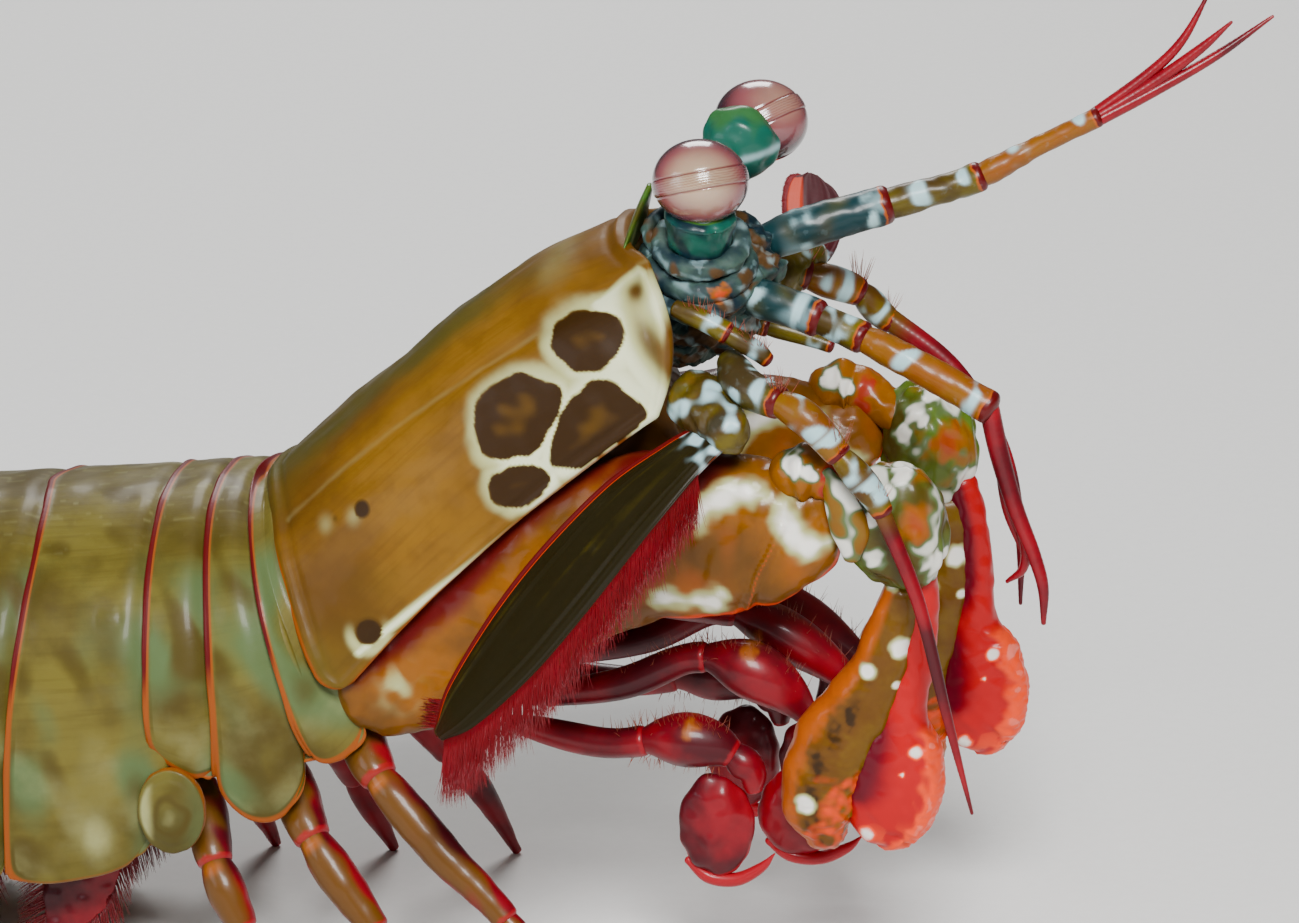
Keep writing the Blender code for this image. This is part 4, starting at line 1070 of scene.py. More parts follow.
def core_sheet():
    """Flesh under the carapace: broad arch above, a keel below, closed at both ends."""
    rings = []
    turn = np.linspace(0, 1, 40)
    for ahead in np.linspace(0.6, 27.5, 40):
        t = ahead / CARAPACE_LENGTH
        side, fall = arch(turn, carapace_half(t) - 2.15, 7.6)
        keel = curve([(side[-1], 9.4), *KEEL], np.linspace(0.3, 5, 26))
        depths = np.concatenate([fall + 1.8 - 0.9 * crown(t) * (1 - turn ** 2), keel[:, 1]])
        ring = leaning(*CARAPACE_REAR, CARAPACE_PITCH, ahead, np.concatenate([side, keel[:, 0]]), depths)
        rings.append(np.vstack([ring, ring[::-1] * (1, -1, 1)]))
    points = np.array(rings)
    ends = [points[:1] * 0 + points[k].mean(0) for k in (0, -1)]
    points = np.concatenate([ends[0], points, ends[1]])
    return Sheet(points, blank(points), points.copy())


def make_trunk():
    material = plate_shell()
    names = list(SOMITES)
    for name, front in zip(names, ["thorax_6_front"] + names[:-1]):
        sheets = [somite(name, EDGES[front], EDGES[name])]
        if name == "abdomen_1":
            sheets += [hip_plate(sign) for sign in SIDES.values()]
        build(name + "_plate", sheets, material, "segments", name)
    core = core_sheet()
    paint(core, cool=smooth(24, 38, core.points[..., 2]))
    core = raised(core, 0.25 * wobble(core.points, 2.2, 31))
    build("front_flesh", [core], limb_shell(), "segments", "thorax_front")


HIP = (-5.4, 14.8)
HIP_RADII = (2.5, 0.95, 3.25)


def hip_plate(sign):
    """Small round plate: an ellipsoid with a raised border ring and faint growth lines."""
    def bump(unit):
        far = np.hypot(unit[..., 0], unit[..., 2])
        return (0.12 * bell(far - 0.9, 0.06) + 0.015 * np.sin(far * 30) * smooth(0.3, 0.6, far)
                + 0.02 * wobble(unit * 3, 1.5, 32))
    sheet = ellipsoid((HIP[0], sign * 14, HIP[1]), HIP_RADII, bump=bump, rings=60, around=90)
    p = sheet.points
    x, z = (p[..., 0] - HIP[0]) / HIP_RADII[0], (p[..., 2] - HIP[1]) / HIP_RADII[2]
    far = np.hypot(x, z)
    swirl = np.hypot(x - 0.05, z + 0.1) + 0.08 * wobble(p, 1.6, 33)
    pale = smooth(-0.3, -0.75, x) * smooth(0.95, 0.8, far) + 0.4 * bell(swirl, 0.2)
    return paint(sheet, rim=smooth(0.9, 0.99, far) * 0.5, dark=0.4 * bell(swirl - 0.45, 0.16),
                 pale=0.35 * pale, cool=0.25 + 0.2 * smooth(0.2, 0.8, x))


# Tail

# The tail plate's toothed end: share of the half width, share of the length
TEETH = [(0, 0.91), (0.06, 0.93), (0.13, 0.955), (0.21, 1), (0.25, 0.96), (0.33, 0.88),
         (0.42, 0.87), (0.5, 0.9), (0.575, 0.955), (0.61, 0.89), (0.68, 0.76), (0.78, 0.74),
         (0.865, 0.79), (0.9, 0.7), (1, 0.5)]
# One tail limb, for the right: its stalk, and its inner and outer branch
TAIL_STALK = [(-56.8, -14.5, 6.8, 1.6, 1.4), (-59.4, -15.5, 5.7, 2.3, 1.4), (-62.4, -16.6, 4.4, 2.2, 1.2)]
TAIL_INNER = [(-61, -16.2, 4.4, 1.3, 0.8), (-66, -17.3, 2.6, 2.3, 0.6),
              (-72, -18.1, 1, 2.5, 0.55), (-77.4, -17.8, 0.35, 1.2, 0.45)]
TAIL_OUTER = [(-61.6, -19.6, 5.6, 1.3, 1), (-65, -21.9, 4.2, 2.4, 0.9), (-70.4, -24, 2.6, 2.9, 0.8),
              (-74, -25.1, 1.5, 2.6, 0.6), (-78, -26.1, 0.7, 3, 0.5), (-83.6, -27, 0.3, 1.2, 0.45)]
TAIL_FLAT = (0, 0, 1)


def make_telson():
    """Tail plate: two skins over a half-width v and a run s; the run ends in a toothed
    line, and long ridges, each a bell curve in v, rise on it."""
    v = np.linspace(-1, 1, 191)[None]
    s = np.linspace(0, 1, 110)[:, None]
    size = np.abs(v)
    end = np.interp(size, *zip(*TEETH))
    small = 0.012 * np.abs(np.sin(size * 60)) * smooth(0.03, 0.06, size) * smooth(0.2, 0.17, size)
    t = s * (end + small)
    side = TELSON_HALF_WIDTH * (1 - 0.10 * t) * v
    fall = (6.2 * (1 - t) ** 1.2 + 1.2) * size ** 2.4
    ridge = 0.95 * bell(v, 0.05) * smooth(1, 0.55, t)
    for place, high in ((0.2, 0.55), (0.36, 0.5), (0.56, 0.6), (0.84, 0.55)):
        ridge = ridge + high * bell(size - place * (0.85 + 0.15 * t), 0.035) * smooth(0.02, 0.3, t)
    top = leaning(*TELSON_ROOT, -t * TELSON_LENGTH, side, fall - ridge)
    low = leaning(*TELSON_ROOT, -t * TELSON_LENGTH, side * 0.985, fall + 3.4 - 2.6 * t)
    top[..., 2] = np.maximum(top[..., 2], 0.75)
    low[..., 2] = np.maximum(low[..., 2], 0.02)
    top = relief(top, 0.08 * wobble(top, 2, 41) * smooth(0, 0.1, s))
    back = (1 - s) * end * TELSON_LENGTH
    rim = np.clip(1 - np.minimum(back, (1 - size) * 12 + 0.4) / 1.3, 0, 1)
    pale = 0.2 * smooth(0.2, 0.7, ridge) + 0.12 * cloud(top, 2.5, 42, 0.2, 1.6)
    cool = np.clip(0.5 + 0.6 * wobble(top, 6, 43), 0, 1) * 0.8
    flow = np.stack(np.broadcast_arrays(t * TELSON_LENGTH, side, 0 * t), -1)
    marks = np.stack([pale, 0 * rim, rim, cool], -1)
    build("telson_plate", [shell(top, low, marks, flow, 0.15)], tail_shell(), "tail", "telson")


def spine(root, tip, radius):
    """A sharp tapering spine from root to tip."""
    root, tip = np.array(root, float), np.array(tip, float)
    rows = [(*(root + (tip - root) * f), radius * g)
            for f, g in ((-0.25, 0.9), (0, 1), (0.35, 0.75), (0.75, 0.35), (1, 0.05))]
    sheet = limb(rows, along=14, around=10)
    far = sheet.flow[..., 0]
    return paint(sheet, rim=smooth(0.4, 1, far / far.max()) * 0.6)


def make_tail_fan():
    material = tail_shell()
    lean = (0, 0.2, 1)
    for side, sign in SIDES.items():
        stalk, inner, outer = (mirrored(rows, side) for rows in (TAIL_STALK, TAIL_INNER, TAIL_OUTER))
        blade = limb(inner, TAIL_FLAT, along=80, around=48, cap=0.8)
        base = limb(stalk, TAIL_FLAT, along=40, around=40)
        near = limb(outer, lean, along=60, around=48, span=(0, 3.1), flare=(0, 0.08))
        far = limb(outer, lean, along=50, around=48, span=(3, 5), cap=0.8)
        for sheet in (blade, base, near, far):
            paint(sheet, rim=smooth(0.8, 1, np.abs(aside(sheet.points, 1))) * 0.75,
                  cool=np.clip(0.4 + 0.6 * wobble(sheet.points, 5, 51), 0, 1))
        blade = raised(blade, 0.25 * bell(np.abs(blade.flow[..., 1] / blade.flow[..., 1].max() - 0.5), 0.06))
        forks = [spine((-61.5, sign * 17.4, 3.6), (-67.8, sign * 18.9, 2), 0.75),
                 spine((-61.2, sign * 15.6, 3.4), (-66, sign * 15.2, 1.6), 0.6)]
        build("uropod_inner_" + side, [blade, base] + forks, material, "tail", "uropod_endopod_" + side)
        spines = []
        for k, row in enumerate(curve(outer, np.linspace(1, 3.05, 11))):
            root = row[:3] + (0, sign * row[3] * 0.93, 0)
            spines.append(spine(root, root + np.array((-1.3 - 0.14 * k, sign * 0.75, -0.15)), 0.28))
        build("uropod_outer_" + side, [near, far] + spines, material, "tail", "uropod_exopod_" + side)


# Head and eyes

def torus(centre, axis, radius, tube, seed):
    """Ring about an axis: centre + (radius + tube cos b) out + tube sin b axis, its tube
    uneven by a sixth and folded by a finer wobble."""
    axis = np.array(axis, float) / np.linalg.norm(axis)
    first = np.cross(axis, (0.2, 1, 0.1))
    first /= np.linalg.norm(first)
    a = np.linspace(0, 2 * math.pi, 91)[:, None, None]
    b = np.linspace(0, 2 * math.pi, 27)[None, :, None]
    out = first * np.cos(a) + np.cross(axis, first) * np.sin(a)
    thick = tube * (1 + 0.16 * wobble(out * radius, 3, seed)[..., None])
    points = np.array(centre) + out * (radius + thick * np.cos(b)) + axis * thick * np.sin(b)
    points = points + out * 0.06 * wobble(points, 0.9, seed + 1)[..., None]
    points[-1], points[:, -1] = points[0], points[:, 0]
    return Sheet(points, blank(points), points.copy())


# The folded collar round each eyestalk: centre, ring radius and tube radius
COLLARS = {
    "r": [((31.1, -4.6, 55.6), 2.75, 0.75), ((30.9, -4, 54.1), 3.2, 0.85),
          ((30.6, -3.3, 53), 3.7, 0.95),
          ((29.9, -3, 56), 2.7, 0.45)],
    "l": [((30.7, 3.7, 54.6), 2.8, 0.8)],
}
ORANGE_SPOT = (32.8, 52.8)
ROSTRAL_PLATE = [(25.5, 0, 54.3, 5.3, 0.36), (25.85, 0, 55.5, 4.8, 0.36), (26.3, 0, 57, 3.1, 0.34),
                 (26.8, 0, 58.4, 0.5, 0.24)]


def make_head():
    """Head block: an ellipsoid under three scales of folds, with folded collars at the foot
    of the eyestalks; rostral plate: a thin leaf."""
    def rough(unit):
        return sum(high * wobble(unit * 5, size, seed)
                   for high, size, seed in ((0.3, 3.2, 61), (0.2, 1.3, 62), (0.1, 0.6, 63)))
    sheets = [ellipsoid((30.3, 0, 50.9), (6.2, 5.9, 4.6), -CARAPACE_PITCH, 120, 170, rough)]
    for side, sign in SIDES.items():
        for k, (centre, radius, tube) in enumerate(COLLARS[side]):
            sheets.append(torus(centre, (0.05, 0.42 * sign, 0.9), radius, tube, 67 + 3 * k))
    for sheet in sheets:
        p = sheet.points
        spot = np.hypot(p[..., 0] - ORANGE_SPOT[0], p[..., 2] - ORANGE_SPOT[1]) + 0.2 * wobble(p, 0.8, 66)
        dark = 0.62 * smooth(1, 0.2, spot) * (p[..., 1] < 0)
        brown = smooth(0.1, 1.1, wobble(p, 2.6, 65) + smooth(54, 49, p[..., 2]) * 0.6)
        paint(sheet, pale=0.25 * smooth(-0.2, 1.6, wobble(p, 1.5, 64) + 0.4 * wobble(p, 4, 60)),
              dark=dark, cool=brown * (1 - smooth(0.2, 0.6, dark)))
    build("head_block", sheets, head_shell(), "head", "head")
    leaf = limb(ROSTRAL_PLATE, (0.95, 0, -0.31), along=40, around=60, cap=0.5)
    ahead = leaf.points[..., 0] - leaf.points[..., 0].mean(axis=1, keepdims=True)
    paint(leaf, rim=0.5 * smooth(0.1, 0.25, ahead) * smooth(2, 3, np.abs(leaf.points[..., 1])))
    build("rostral_leaf", [leaf], rostral_shell(), "eye_shell", "rostral_plate")


# For each eye: the vector across its lined band, the way its pale middle faces and how
# pale that is, and the stalk. The pale middle is a painted highlight and the mauve towards
# the border painted shade; the near eye's middle faces the camera.
LOOKS = {
    "r": ((-0.253, 0.266, 0.930), (0.15, -0.95, 0.28), 1,
          [(31.1, -3, 52.6, 1.9), (31.1, -4.6, 55.2, 2.1), (31.2, -5.8, 57.3, 2.35),
           (31.3, -6.1, 58.2, 2.5)]),
    "l": ((-0.55, 0.25, 0.80), (0.45, -0.55, 0.70), 0.74,
          [(29.6, 3.2, 52.8, 1.8), (29.7, 3.4, 55.6, 1.9), (30.6, 3.7, 58, 2.1), (31.9, 4, 59.6, 2)]),
}
BAND = 0.2


def band_lines(high):
    """The six lines of an eye's band, from -1 to 1: a cosine of the height across it."""
    return np.cos(high / 0.17 * math.pi * 6)


def make_eyes():
    """Corneas: ellipsoids with a band of six fine ridges across; stalks: flared cups."""
    glass, cup = cornea_glass(), stalk_shell()
    for side, sign in SIDES.items():
        across, painted_light_facing, pale, stalk = LOOKS[side]

        def bump(unit):
            high = unit @ np.array(across)
            return (smooth(0.21, 0.16, np.abs(high)) * (0.045 + 0.018 * band_lines(high))
                    - 0.05 * bell(np.abs(high) - BAND, 0.025))
        eye = ellipsoid(EYES[side], EYE_RADII, rings=150, around=200, bump=bump)
        unit = (eye.points - EYES[side]) / EYE_RADII
        high = unit @ np.array(across)
        far = np.abs(high)
        fine = 0.4 * smooth(0.2, 0.9, -band_lines(high)) * smooth(0.2, 0.17, far)
        # pale: a painted highlight where the eye faces that way and the opposite way; the mauve border where
        # it turns away is painted shade
        paint(eye, pale=pale * np.abs(unit @ (painted_light_facing / np.linalg.norm(painted_light_facing))),
              dark=np.maximum(0.9 * bell(far - BAND, 0.022), fine),
              rim=smooth(-0.9, -0.96, unit[..., 2] + 0.12 * unit[..., 1] * -sign))
        build("cornea_" + side, [eye], glass, "cornea", "eye_" + side)
        stem = limb(stalk, along=60, around=64, cap=0.25)
        p, far = stem.points, stem.flow[..., 0]
        paint(stem, dark=0.42 * smooth(-0.4, 1.2, wobble(p, 2.6, 71) + smooth(57, 54.5, p[..., 2])))
        sheets = [raised(stem, 0.06 * wobble(p, 1.5, 72))]
        if side == "r":
            paint(stem, cool=0.3 + 0.25 * cloud(p, 3, 75, -0.5, 1),
                  rim=smooth(far.max() - 0.35, far.max() - 0.1, far))
        else:
            sheets.append(cup_lobe())
        build("stalk_" + side, sheets, cup, "eye_shell", "eyestalk_" + side)


def cup_lobe():
    """The broad lobe of the far stalk that cups its eye: green above, navy below, with one
    pale streak."""
    lobe = ellipsoid((32.6, 3.9, 60.75), (2.75, 2.15, 2.65), 25, 80, 110,
                     lambda unit: 0.1 * wobble(unit * 3, 2.6, 73))
    p, x, z = lobe.points, lobe.points[..., 0], lobe.points[..., 2]
    streak = 0.3 * bell(z - 60 - 0.25 * (x - 33), 0.35) * smooth(31.8, 33.4, x)
    return paint(lobe, cool=0.5 * smooth(61.4, 58.6, z),
                 rim=0.46 * smooth(60.2, 62.8, z + 0.4 * wobble(p, 3, 76)),
                 pale=0.06 * cloud(p, 3.6, 74, -0.6, 1.6) + streak)


# Feelers: their joints, knobs and whips

ANTENNULES = {
    "r": [(32.6, -3, 52, 1.35), (35.8, -3.6, 51.4, 1.4), (39, -4.2, 50.6, 1.25),
          (41.5, -4.7, 49.8, 1.1),
          (44.1, -5.2, 48.8, 1.1), (48, -5.9, 47.1, 1.15), (51.6, -6.5, 45.3, 1.1)],
    "l": [(34.2, 2.6, 53.7, 1.4), (37.8, 3.3, 55, 1.5), (42.5, 4.5, 56.3, 1.3), (45.8, 5.3, 57.2, 1.05),
          (49.2, 6, 58.3, 1), (53.3, 6.8, 60.5, 0.72), (57.5, 7.3, 62.7, 0.68)],
}
ANTENNULE_CUTS = {"r": (0, 2.1, 3.4, 6), "l": (0, 2.1, 4.05, 6)}
ANTENNULE_WHIPS = {
    "r": [[(51.6, -6.5, 45.4, 0.72), (52.4, -6.6, 42, 0.7), (53.6, -6.8, 38.2, 0.6),
           (55, -7, 34.8, 0.5), (55.7, -7.2, 32.5, 0.4), (55.8, -7.4, 30, 0.18)],
          [(52.3, -6.6, 42.4, 0.4), (53.5, -6.8, 38.6, 0.4), (54.3, -6.2, 35.2, 0.38),
           (54.1, -5.7, 33.3, 0.33),
           (53, -5.3, 32.2, 0.15)],
          [(51.9, -6.4, 44.6, 0.5), (52.3, -6.5, 42.6, 0.42), (52.9, -5.9, 38, 0.38),
           (54, -5.6, 34.6, 0.15)]],
    "l": [[(57.2, 7.3, 62.5, 0.5), (61.2, 8.4, 65, 0.45), (64.4, 9.1, 67.4, 0.36),
           (66.6, 9.5, 69.4, 0.12)],
          [(57.2, 7.1, 62.3, 0.45), (61.2, 8.3, 64.4, 0.42), (65.6, 9.7, 66.9, 0.34),
           (69.4, 10.8, 69.6, 0.12)],
          [(57.2, 7.5, 62.8, 0.45), (61, 8.6, 65.7, 0.4), (63.2, 9.3, 68, 0.32),
           (64.9, 10.2, 71.2, 0.12)]],
}
ANTENNAE = {
    "r": [(33.6, -7.2, 47.9, 1.3), (35.2, -10.6, 47.2, 1.3), (39.3, -13, 46.2, 1.15),
          (42, -13.4, 43.6, 1), (44.2, -13.5, 41.1, 0.95), (45.1, -13.5, 39.6, 0.8)],
    "l": [(33.2, 6.6, 49.2, 1.3), (35, 9.6, 49.7, 1.3), (37.6, 10.5, 49, 1.2),
          (40.2, 11.4, 47.9, 1.1), (41.6, 11.8, 46.4, 1), (42.6, 11.7, 45.6, 0.9)],
}
ANTENNA_KNOBS = {"r": ((31.6, -9.2, 45.6), (34.3, -12.6, 44.6)), "l": ((33.4, 8.6, 49.2),
                      (36.4, 11.8, 50.2))}
ANTENNA_WHIPS = {
    "r": [(44.6, -13.5, 40.4, 0.8), (45.3, -13.5, 39, 0.62), (47.7, -13.7, 33.2, 0.5),
          (49.7, -14, 25.6, 0.38), (51.7, -14.2, 18.1, 0.12)],
    "l": [(41.9, 11.8, 46.2, 0.9), (47.3, 11.2, 42.4, 0.7), (51, 10.2, 37, 0.5),
          (52.4, 9.4, 31, 0.4), (52.6, 9, 25.6, 0.14)],
}
SCALES = {
    "r": [(33.2, -12.2, 44, 1.5, 0.7), (31, -13.2, 42.4, 2.2, 0.5), (27.7, -14.9, 39.4, 3.2, 0.45),
          (23.4, -16.2, 34.3, 3.8, 0.4), (19.7, -17, 29.5, 3.6, 0.4), (16.4, -17.4, 25.2, 2.4, 0.4),
          (14.8, -17.5, 23, 0.7, 0.35)],
    "l": [(36.8, 12.4, 50, 0.8, 0.6), (36.4, 14.2, 50, 1.3, 0.5), (35.9, 18.6, 49.9, 1.8, 0.5),
          (35.2, 24.4, 49.8, 2.1, 0.5), (34.5, 29.8, 49.6, 2, 0.5), (33.8, 34.2, 49.4, 1.5, 0.45),
          (33.4, 36.4, 49.3, 0.6, 0.4)],
}
SCALE_FLATS = {"r": (-0.42, -0.55, 0.72), "l": (0.3, 0.1, 0.95)}


def ringed(sheets, whites=(), tones=()):
    """Mark the joints of a feeler: a soft white ring before each joint and a few white
    bands; tones give each joint's second colour and its dark."""
    for k, sheet in enumerate(sheets):
        far = sheet.flow[..., 0]
        stop = far[-CAP_ROWS - 1, 0]
        rough = wobble(sheet.points, 2.2, 83)
        rings = bell(far - stop + 1.2, 0.45) * smooth(-1.2, 0.6, rough)
        for place, width in whites:
            rings = np.maximum(rings, smooth(-0.5, 1.2, rough) * bell(far - stop * place, width))
        paint(sheet, pale=0.74 * rings * (1 - sheet.marks[..., RIM]))
        if tones:
            paint(sheet, cool=tones[k][0], dark=tones[k][1])
    return sheets


def whip(rows):
    """A feeler's whip: a fine limb whose radius ripples once each ring."""
    rows = np.array(rows, float)
    size = np.linalg.norm(np.diff(rows[:, :3], axis=0), axis=1).sum()
    sheet = limb(rows, along=max(40, int(size / 0.12)), around=12)
    return raised(sheet, 0.004 * np.cos(sheet.flow[..., 0] * 2 * math.pi / 0.45))


def make_antennules():
    material, red = feeler_shell(), limb_shell()
    for side in SIDES:
        sheets = jointed(ANTENNULES[side], ANTENNULE_CUTS[side], fine=0.2, around=32, rim=0.55)
        ringed(sheets, whites=((0.35, 0.7),), tones=((0.95, 0), (0.1, 0), (0, 0.3)))
        first = sheets[0]
        # white: pale-blue patches on the first joint, painted highlights
        white = 0.24 * cloud(first.points * (0.5, 1, 1), 3.6, 82, -0.2, 1.6)
        paint(first, pale=np.maximum(first.marks[..., PALE] * 0.8, white),
              cool=0.84 - 0.2 * wobble(first.points, 4, 85))
        sheets = [raised(sheet, 0.03 * wobble(sheet.points, 1.4, 81)) for sheet in sheets]
        build("antennule_joints_" + side, sheets, material, "feelers", "antennule_" + side)
        lashes = [whip(rows) for rows in ANTENNULE_WHIPS[side]]
        for lash in lashes:
            paint(lash, rim=0.5 * smooth(2.5, 0, lash.flow[..., 0]))
        build("antennule_whips_" + side, lashes, red, "feelers")


def make_antennae():
    material, red = feeler_shell(), limb_shell()
    for side in SIDES:
        sheets = jointed(ANTENNAE[side], (0, 1.6, 3, 5), fine=0.2, around=32, belly=0.2)
        ringed(sheets, whites=((0.3, 0.6), (0.6, 0.5)), tones=((0.3, 0), (0, 0.25), (0.1, 0.15)))
        near, far = (np.array(k) for k in ANTENNA_KNOBS[side])
        link = limb([(*near, 2.2), (*((near + far) / 2), 1.95), (*far, 1.6)], along=50, around=60)
        p = link.points
        paint(link, cool=0.4 * cloud(p, 3.4, 91, -0.3, 1.3), pale=0.52 * cloud(p, 2.6, 92, -0.1, 1.5),
              dark=0.16 * cloud(p, 2.6, 94, 0, 1.4))
        link = raised(link, 0.1 * wobble(p, 1.5, 93))
        build("antenna_joints_" + side, sheets + [link], material, "feelers", "antenna_" + side)
        lash = whip(ANTENNA_WHIPS[side])
        paint(lash, cool=smooth(4, 0, lash.flow[..., 0]))
        build("antenna_whip_" + side, [lash], red, "feelers")


def make_scales():
    """Feeler scales: flat blades with a thicker border and a midrib; the far one is crimson
    with an orange quarter."""
    material = scale_shell()
    for side in SIDES:
        sheet = limb(SCALES[side], SCALE_FLATS[side], along=150, around=96, cap=0.6)
        far, x, y = sheet.flow[..., 0], sheet.points[..., 0], sheet.points[..., 1]
        share = 1 - sheet.flow[..., 1] / sheet.flow[..., 1].max()
        edge = np.minimum(share, 1 - share) * 2
        lines = (wobble(sheet.flow * (0.05, 2.2, 1), 1.2, 101)
                 + 0.5 * wobble(sheet.flow * (0.05, 6, 1), 1.2, 102))
        paint(sheet, pale=0.55 * smooth(3.4, 1, far) * cloud(sheet.points, 2, 103, -0.8, 0.8))
        if side == "r":
            rolled = np.where(share < 0.035, 0.55, 0.9 * smooth(0.17, 0.12, share))
            paint(sheet, rim=np.maximum(rolled, 0.5 * smooth(0.96, 1, share)),
                  dark=0.16 * smooth(-0.2, 1.3, lines) * smooth(0.95, 0.5, share),
                  cool=0.3 * smooth(4, 0.5, far.max() - far))
        else:
            orange = smooth(36.3, 35.6, x + 0.136 * (y - 14)) * smooth(34.8, 33.4, y)
            paint(sheet, rim=0.55 * orange, cool=0.9)
        height = 0.24 * bell(share - 0.05, 0.05) + 0.1 * bell(edge - 0.6, 0.03) + 0.015 * lines
        build("scale_blade_" + side, [raised(sheet, height)], material, "scales", "antennal_scale_" + side)


# Claws, drawn for the right side; places of patches and spots are seen from the side

MERUS = [(7.4, -11.5, 23.4, 2.6, 1.9), (10.4, -10.7, 24.6, 4.4, 2.2), (15.4, -9.8, 28.3, 5.3, 2.5),
         (21.6, -9.3, 32.4, 5.7, 2.6), (28.2, -9.3, 35.6, 6.1, 2.9), (34.4, -9.5, 36.2, 5.8, 3.1),
         (38.6, -9.5, 37, 4.3, 2.9), (40.7, -9.5, 38, 2.6, 2)]
BALL = [(38.3, -10, 40.9, 1.7, 1.9), (39.8, -10.2, 41.1, 1.9, 2), (41.3, -10, 40.6, 1.6, 1.8),
        (43.8, -9.5, 39, 1.3, 1.7)]
GUARD = [(40.9, -11.5, 41.6, 0.5, 0.4), (41.9, -11.9, 39.8, 1.1, 0.45), (42.7, -12, 37.6, 1.35, 0.45),
         (42.8, -11.8, 35.6, 0.6, 0.4)]
SHAFT = [(46.1, -9.3, 32.2, 1.5, 1.5), (45.4, -9.2, 29.6, 1.8, 1.8), (44.4, -9.1, 26.4, 2.1, 2),
         (43, -9, 23.6, 2.6, 2.1), (41.4, -9, 20.8, 2.9, 2.2), (40.5, -9, 18, 2.85, 2.2),
         (40.4, -9, 15.6, 2.5, 2), (40.8, -9, 14, 1.4, 1.4)]
HAMMER = [(47.3, -9.1, 33.4, 1.2, 1.2), (47.35, -9.1, 30.6, 1.25, 1.2), (47, -9.1, 27.6, 1.4, 1.3),
          (46.5, -9, 24.8, 1.5, 1.4), (46, -9, 22.6, 2.1, 1.6), (45.9, -9, 20.6, 2.95, 1.9),
          (45.6, -9, 18.2, 3.3, 2), (45.2, -9, 16.2, 3.1, 1.95), (44.7, -9, 14.9, 2.3, 1.6)]
WHITE_PATCHES = [
    [(32, 37), (33, 38.4), (35, 39.3), (36.8, 39.7), (35.6, 40.7), (33.4, 40.2), (31.6, 38.4)],
    [(37.4, 38.2), (38.4, 36.4), (39.6, 35.6), (41.3, 36.5), (40.2, 37), (38.9, 38.3), (38.2, 39.7)],
    [(28.9, 31.9), (29.6, 32.6), (31.5, 32), (33.8, 33.1), (33.5, 30.8), (31.5, 31.5), (29.1, 31.3)],
]
MARGIN_SHADE = [(7.5, 26.5), (10.8, 28.9), (14.6, 32.5), (19.1, 37.9), (23.2, 41.2), (27.8, 43.6)]
CRIMSON_TOP = [(27.9, 43.6), (34.9, 44.7), (33.2, 39.7), (31.2, 37.2), (29, 33.6), (25.1, 30.7),
               (22, 32), (24.5, 38.9)]
SEAM = [(35.4, 31), (36.2, 33.8), (38, 37.7)]
# Spots as x, z and radius
WRIST_SPOTS = [(45.1, 40.1, 1), (46.1, 41.6, 0.9), (44.1, 38.6, 0.9), (48.6, 35.2, 1.1),
               (44.4, 35.6, 0.9)]
SHAFT_SPOTS = [(45.4, 33.6, 0.8), (46.2, 28.8, 0.85), (43.9, 27, 0.65), (45.9, 25.9, 0.35),
               (39.6, 16.8, 0.8)]
HAMMER_SPOTS = [(47.3, 21, 0.55), (43.9, 14.6, 0.65), (46.4, 19.4, 0.2)]
# The wrist's lobes, as ways out from its middle
LOBES = ((-0.5, -0.6, 0.7), (0.6, -0.6, 0.5), (0.2, -0.8, -0.6), (-0.8, -0.5, -0.2))
SIDEWAYS = (0, 1, 0)


def patch(points, shape, soft=0.9):
    """1 inside a closed outline seen from the side, with a ragged soft border."""
    far = outside(points[..., 0], points[..., 2], outline(np.array(shape)))
    return smooth(soft, -soft, far + 0.15 * wobble(points, 1.3, 111))


def merus_sheet():
    """Arm: a broad flat limb with a seam across its front end, white patches and a crimson
    flush along its upper side."""
    sheet = limb(MERUS, SIDEWAYS, along=190, around=110, power=2.3, cap=0.7)
    p = sheet.points
    x, z = p[..., 0], p[..., 2]
    rear = bell(x - 10.9, 1.5) * bell(z - 24.4, 1.7) * cloud(p, 1.6, 114, -1.2, 0.8)
    white = np.maximum.reduce([patch(p, shape) for shape in WHITE_PATCHES] + [0.5 * rear])
    margin = outside(x, z, MARGIN_SHADE, closed=False) + 0.1 * wobble(p, 4, 117)
    seam = outside(x, z, SEAM, closed=False)
    rim = 0.72 * smooth(0.8, 0.99, -aside(p, 2)) * smooth(27, 31, x)
    paint(sheet, pale=white, dark=0.24 * cloud(p, 4.6, 116, -0.6, 1.6) * smooth(20, 27, x),
          rim=np.maximum(rim, 0.45 * bell(seam, 0.22)) * (1 - white),
          cool=np.maximum(0.85 * patch(p, CRIMSON_TOP, 1.2), 0.92 * smooth(3.1, 0.7, margin)) * (1 - white))
    return raised(sheet, -0.22 * bell(seam - 0.5, 0.35) + 0.16 * bell(seam, 0.3)
                  + 0.14 * wobble(p, 5, 112) + 0.04 * wobble(p, 1.5, 113))


def carpus_sheet():
    """Wrist: an ellipsoid with four rounded lobes, marbled green and white, round a red
    membrane."""
    def bump(unit):
        lobes = sum(0.55 * np.exp(-((1 - unit @ (np.array(way) / np.linalg.norm(way))) / 0.16) ** 2)
                    for way in LOBES)
        return lobes - 0.3 + 0.12 * wobble(unit * 4, 2, 121)
    sheet = ellipsoid((45.8, -9.3, 37.3), (3.7, 3, 4.9), -12, 110, 150, bump)
    p = sheet.points
    marble = wobble(p, 5, 122) + 0.25 * wobble(p, 2, 124)
    white = np.maximum(0.72 * smooth(0.1, 1.1, marble), 0.8 * dabs(p, WRIST_SPOTS, 0.3))
    red = np.hypot(p[..., 0] - 47.2, (p[..., 2] - 38.2) * 0.8) + 0.25 * wobble(p, 1.5, 126)
    red = 0.54 * smooth(1.9, 0.2, red)
    return paint(sheet, pale=white * (1 - smooth(0.1, 0.4, red)), dark=red,
                 cool=0.7 * smooth(0.2, 1.8, wobble(p, 4, 125) + 1.2 * smooth(46, 49, p[..., 0])))


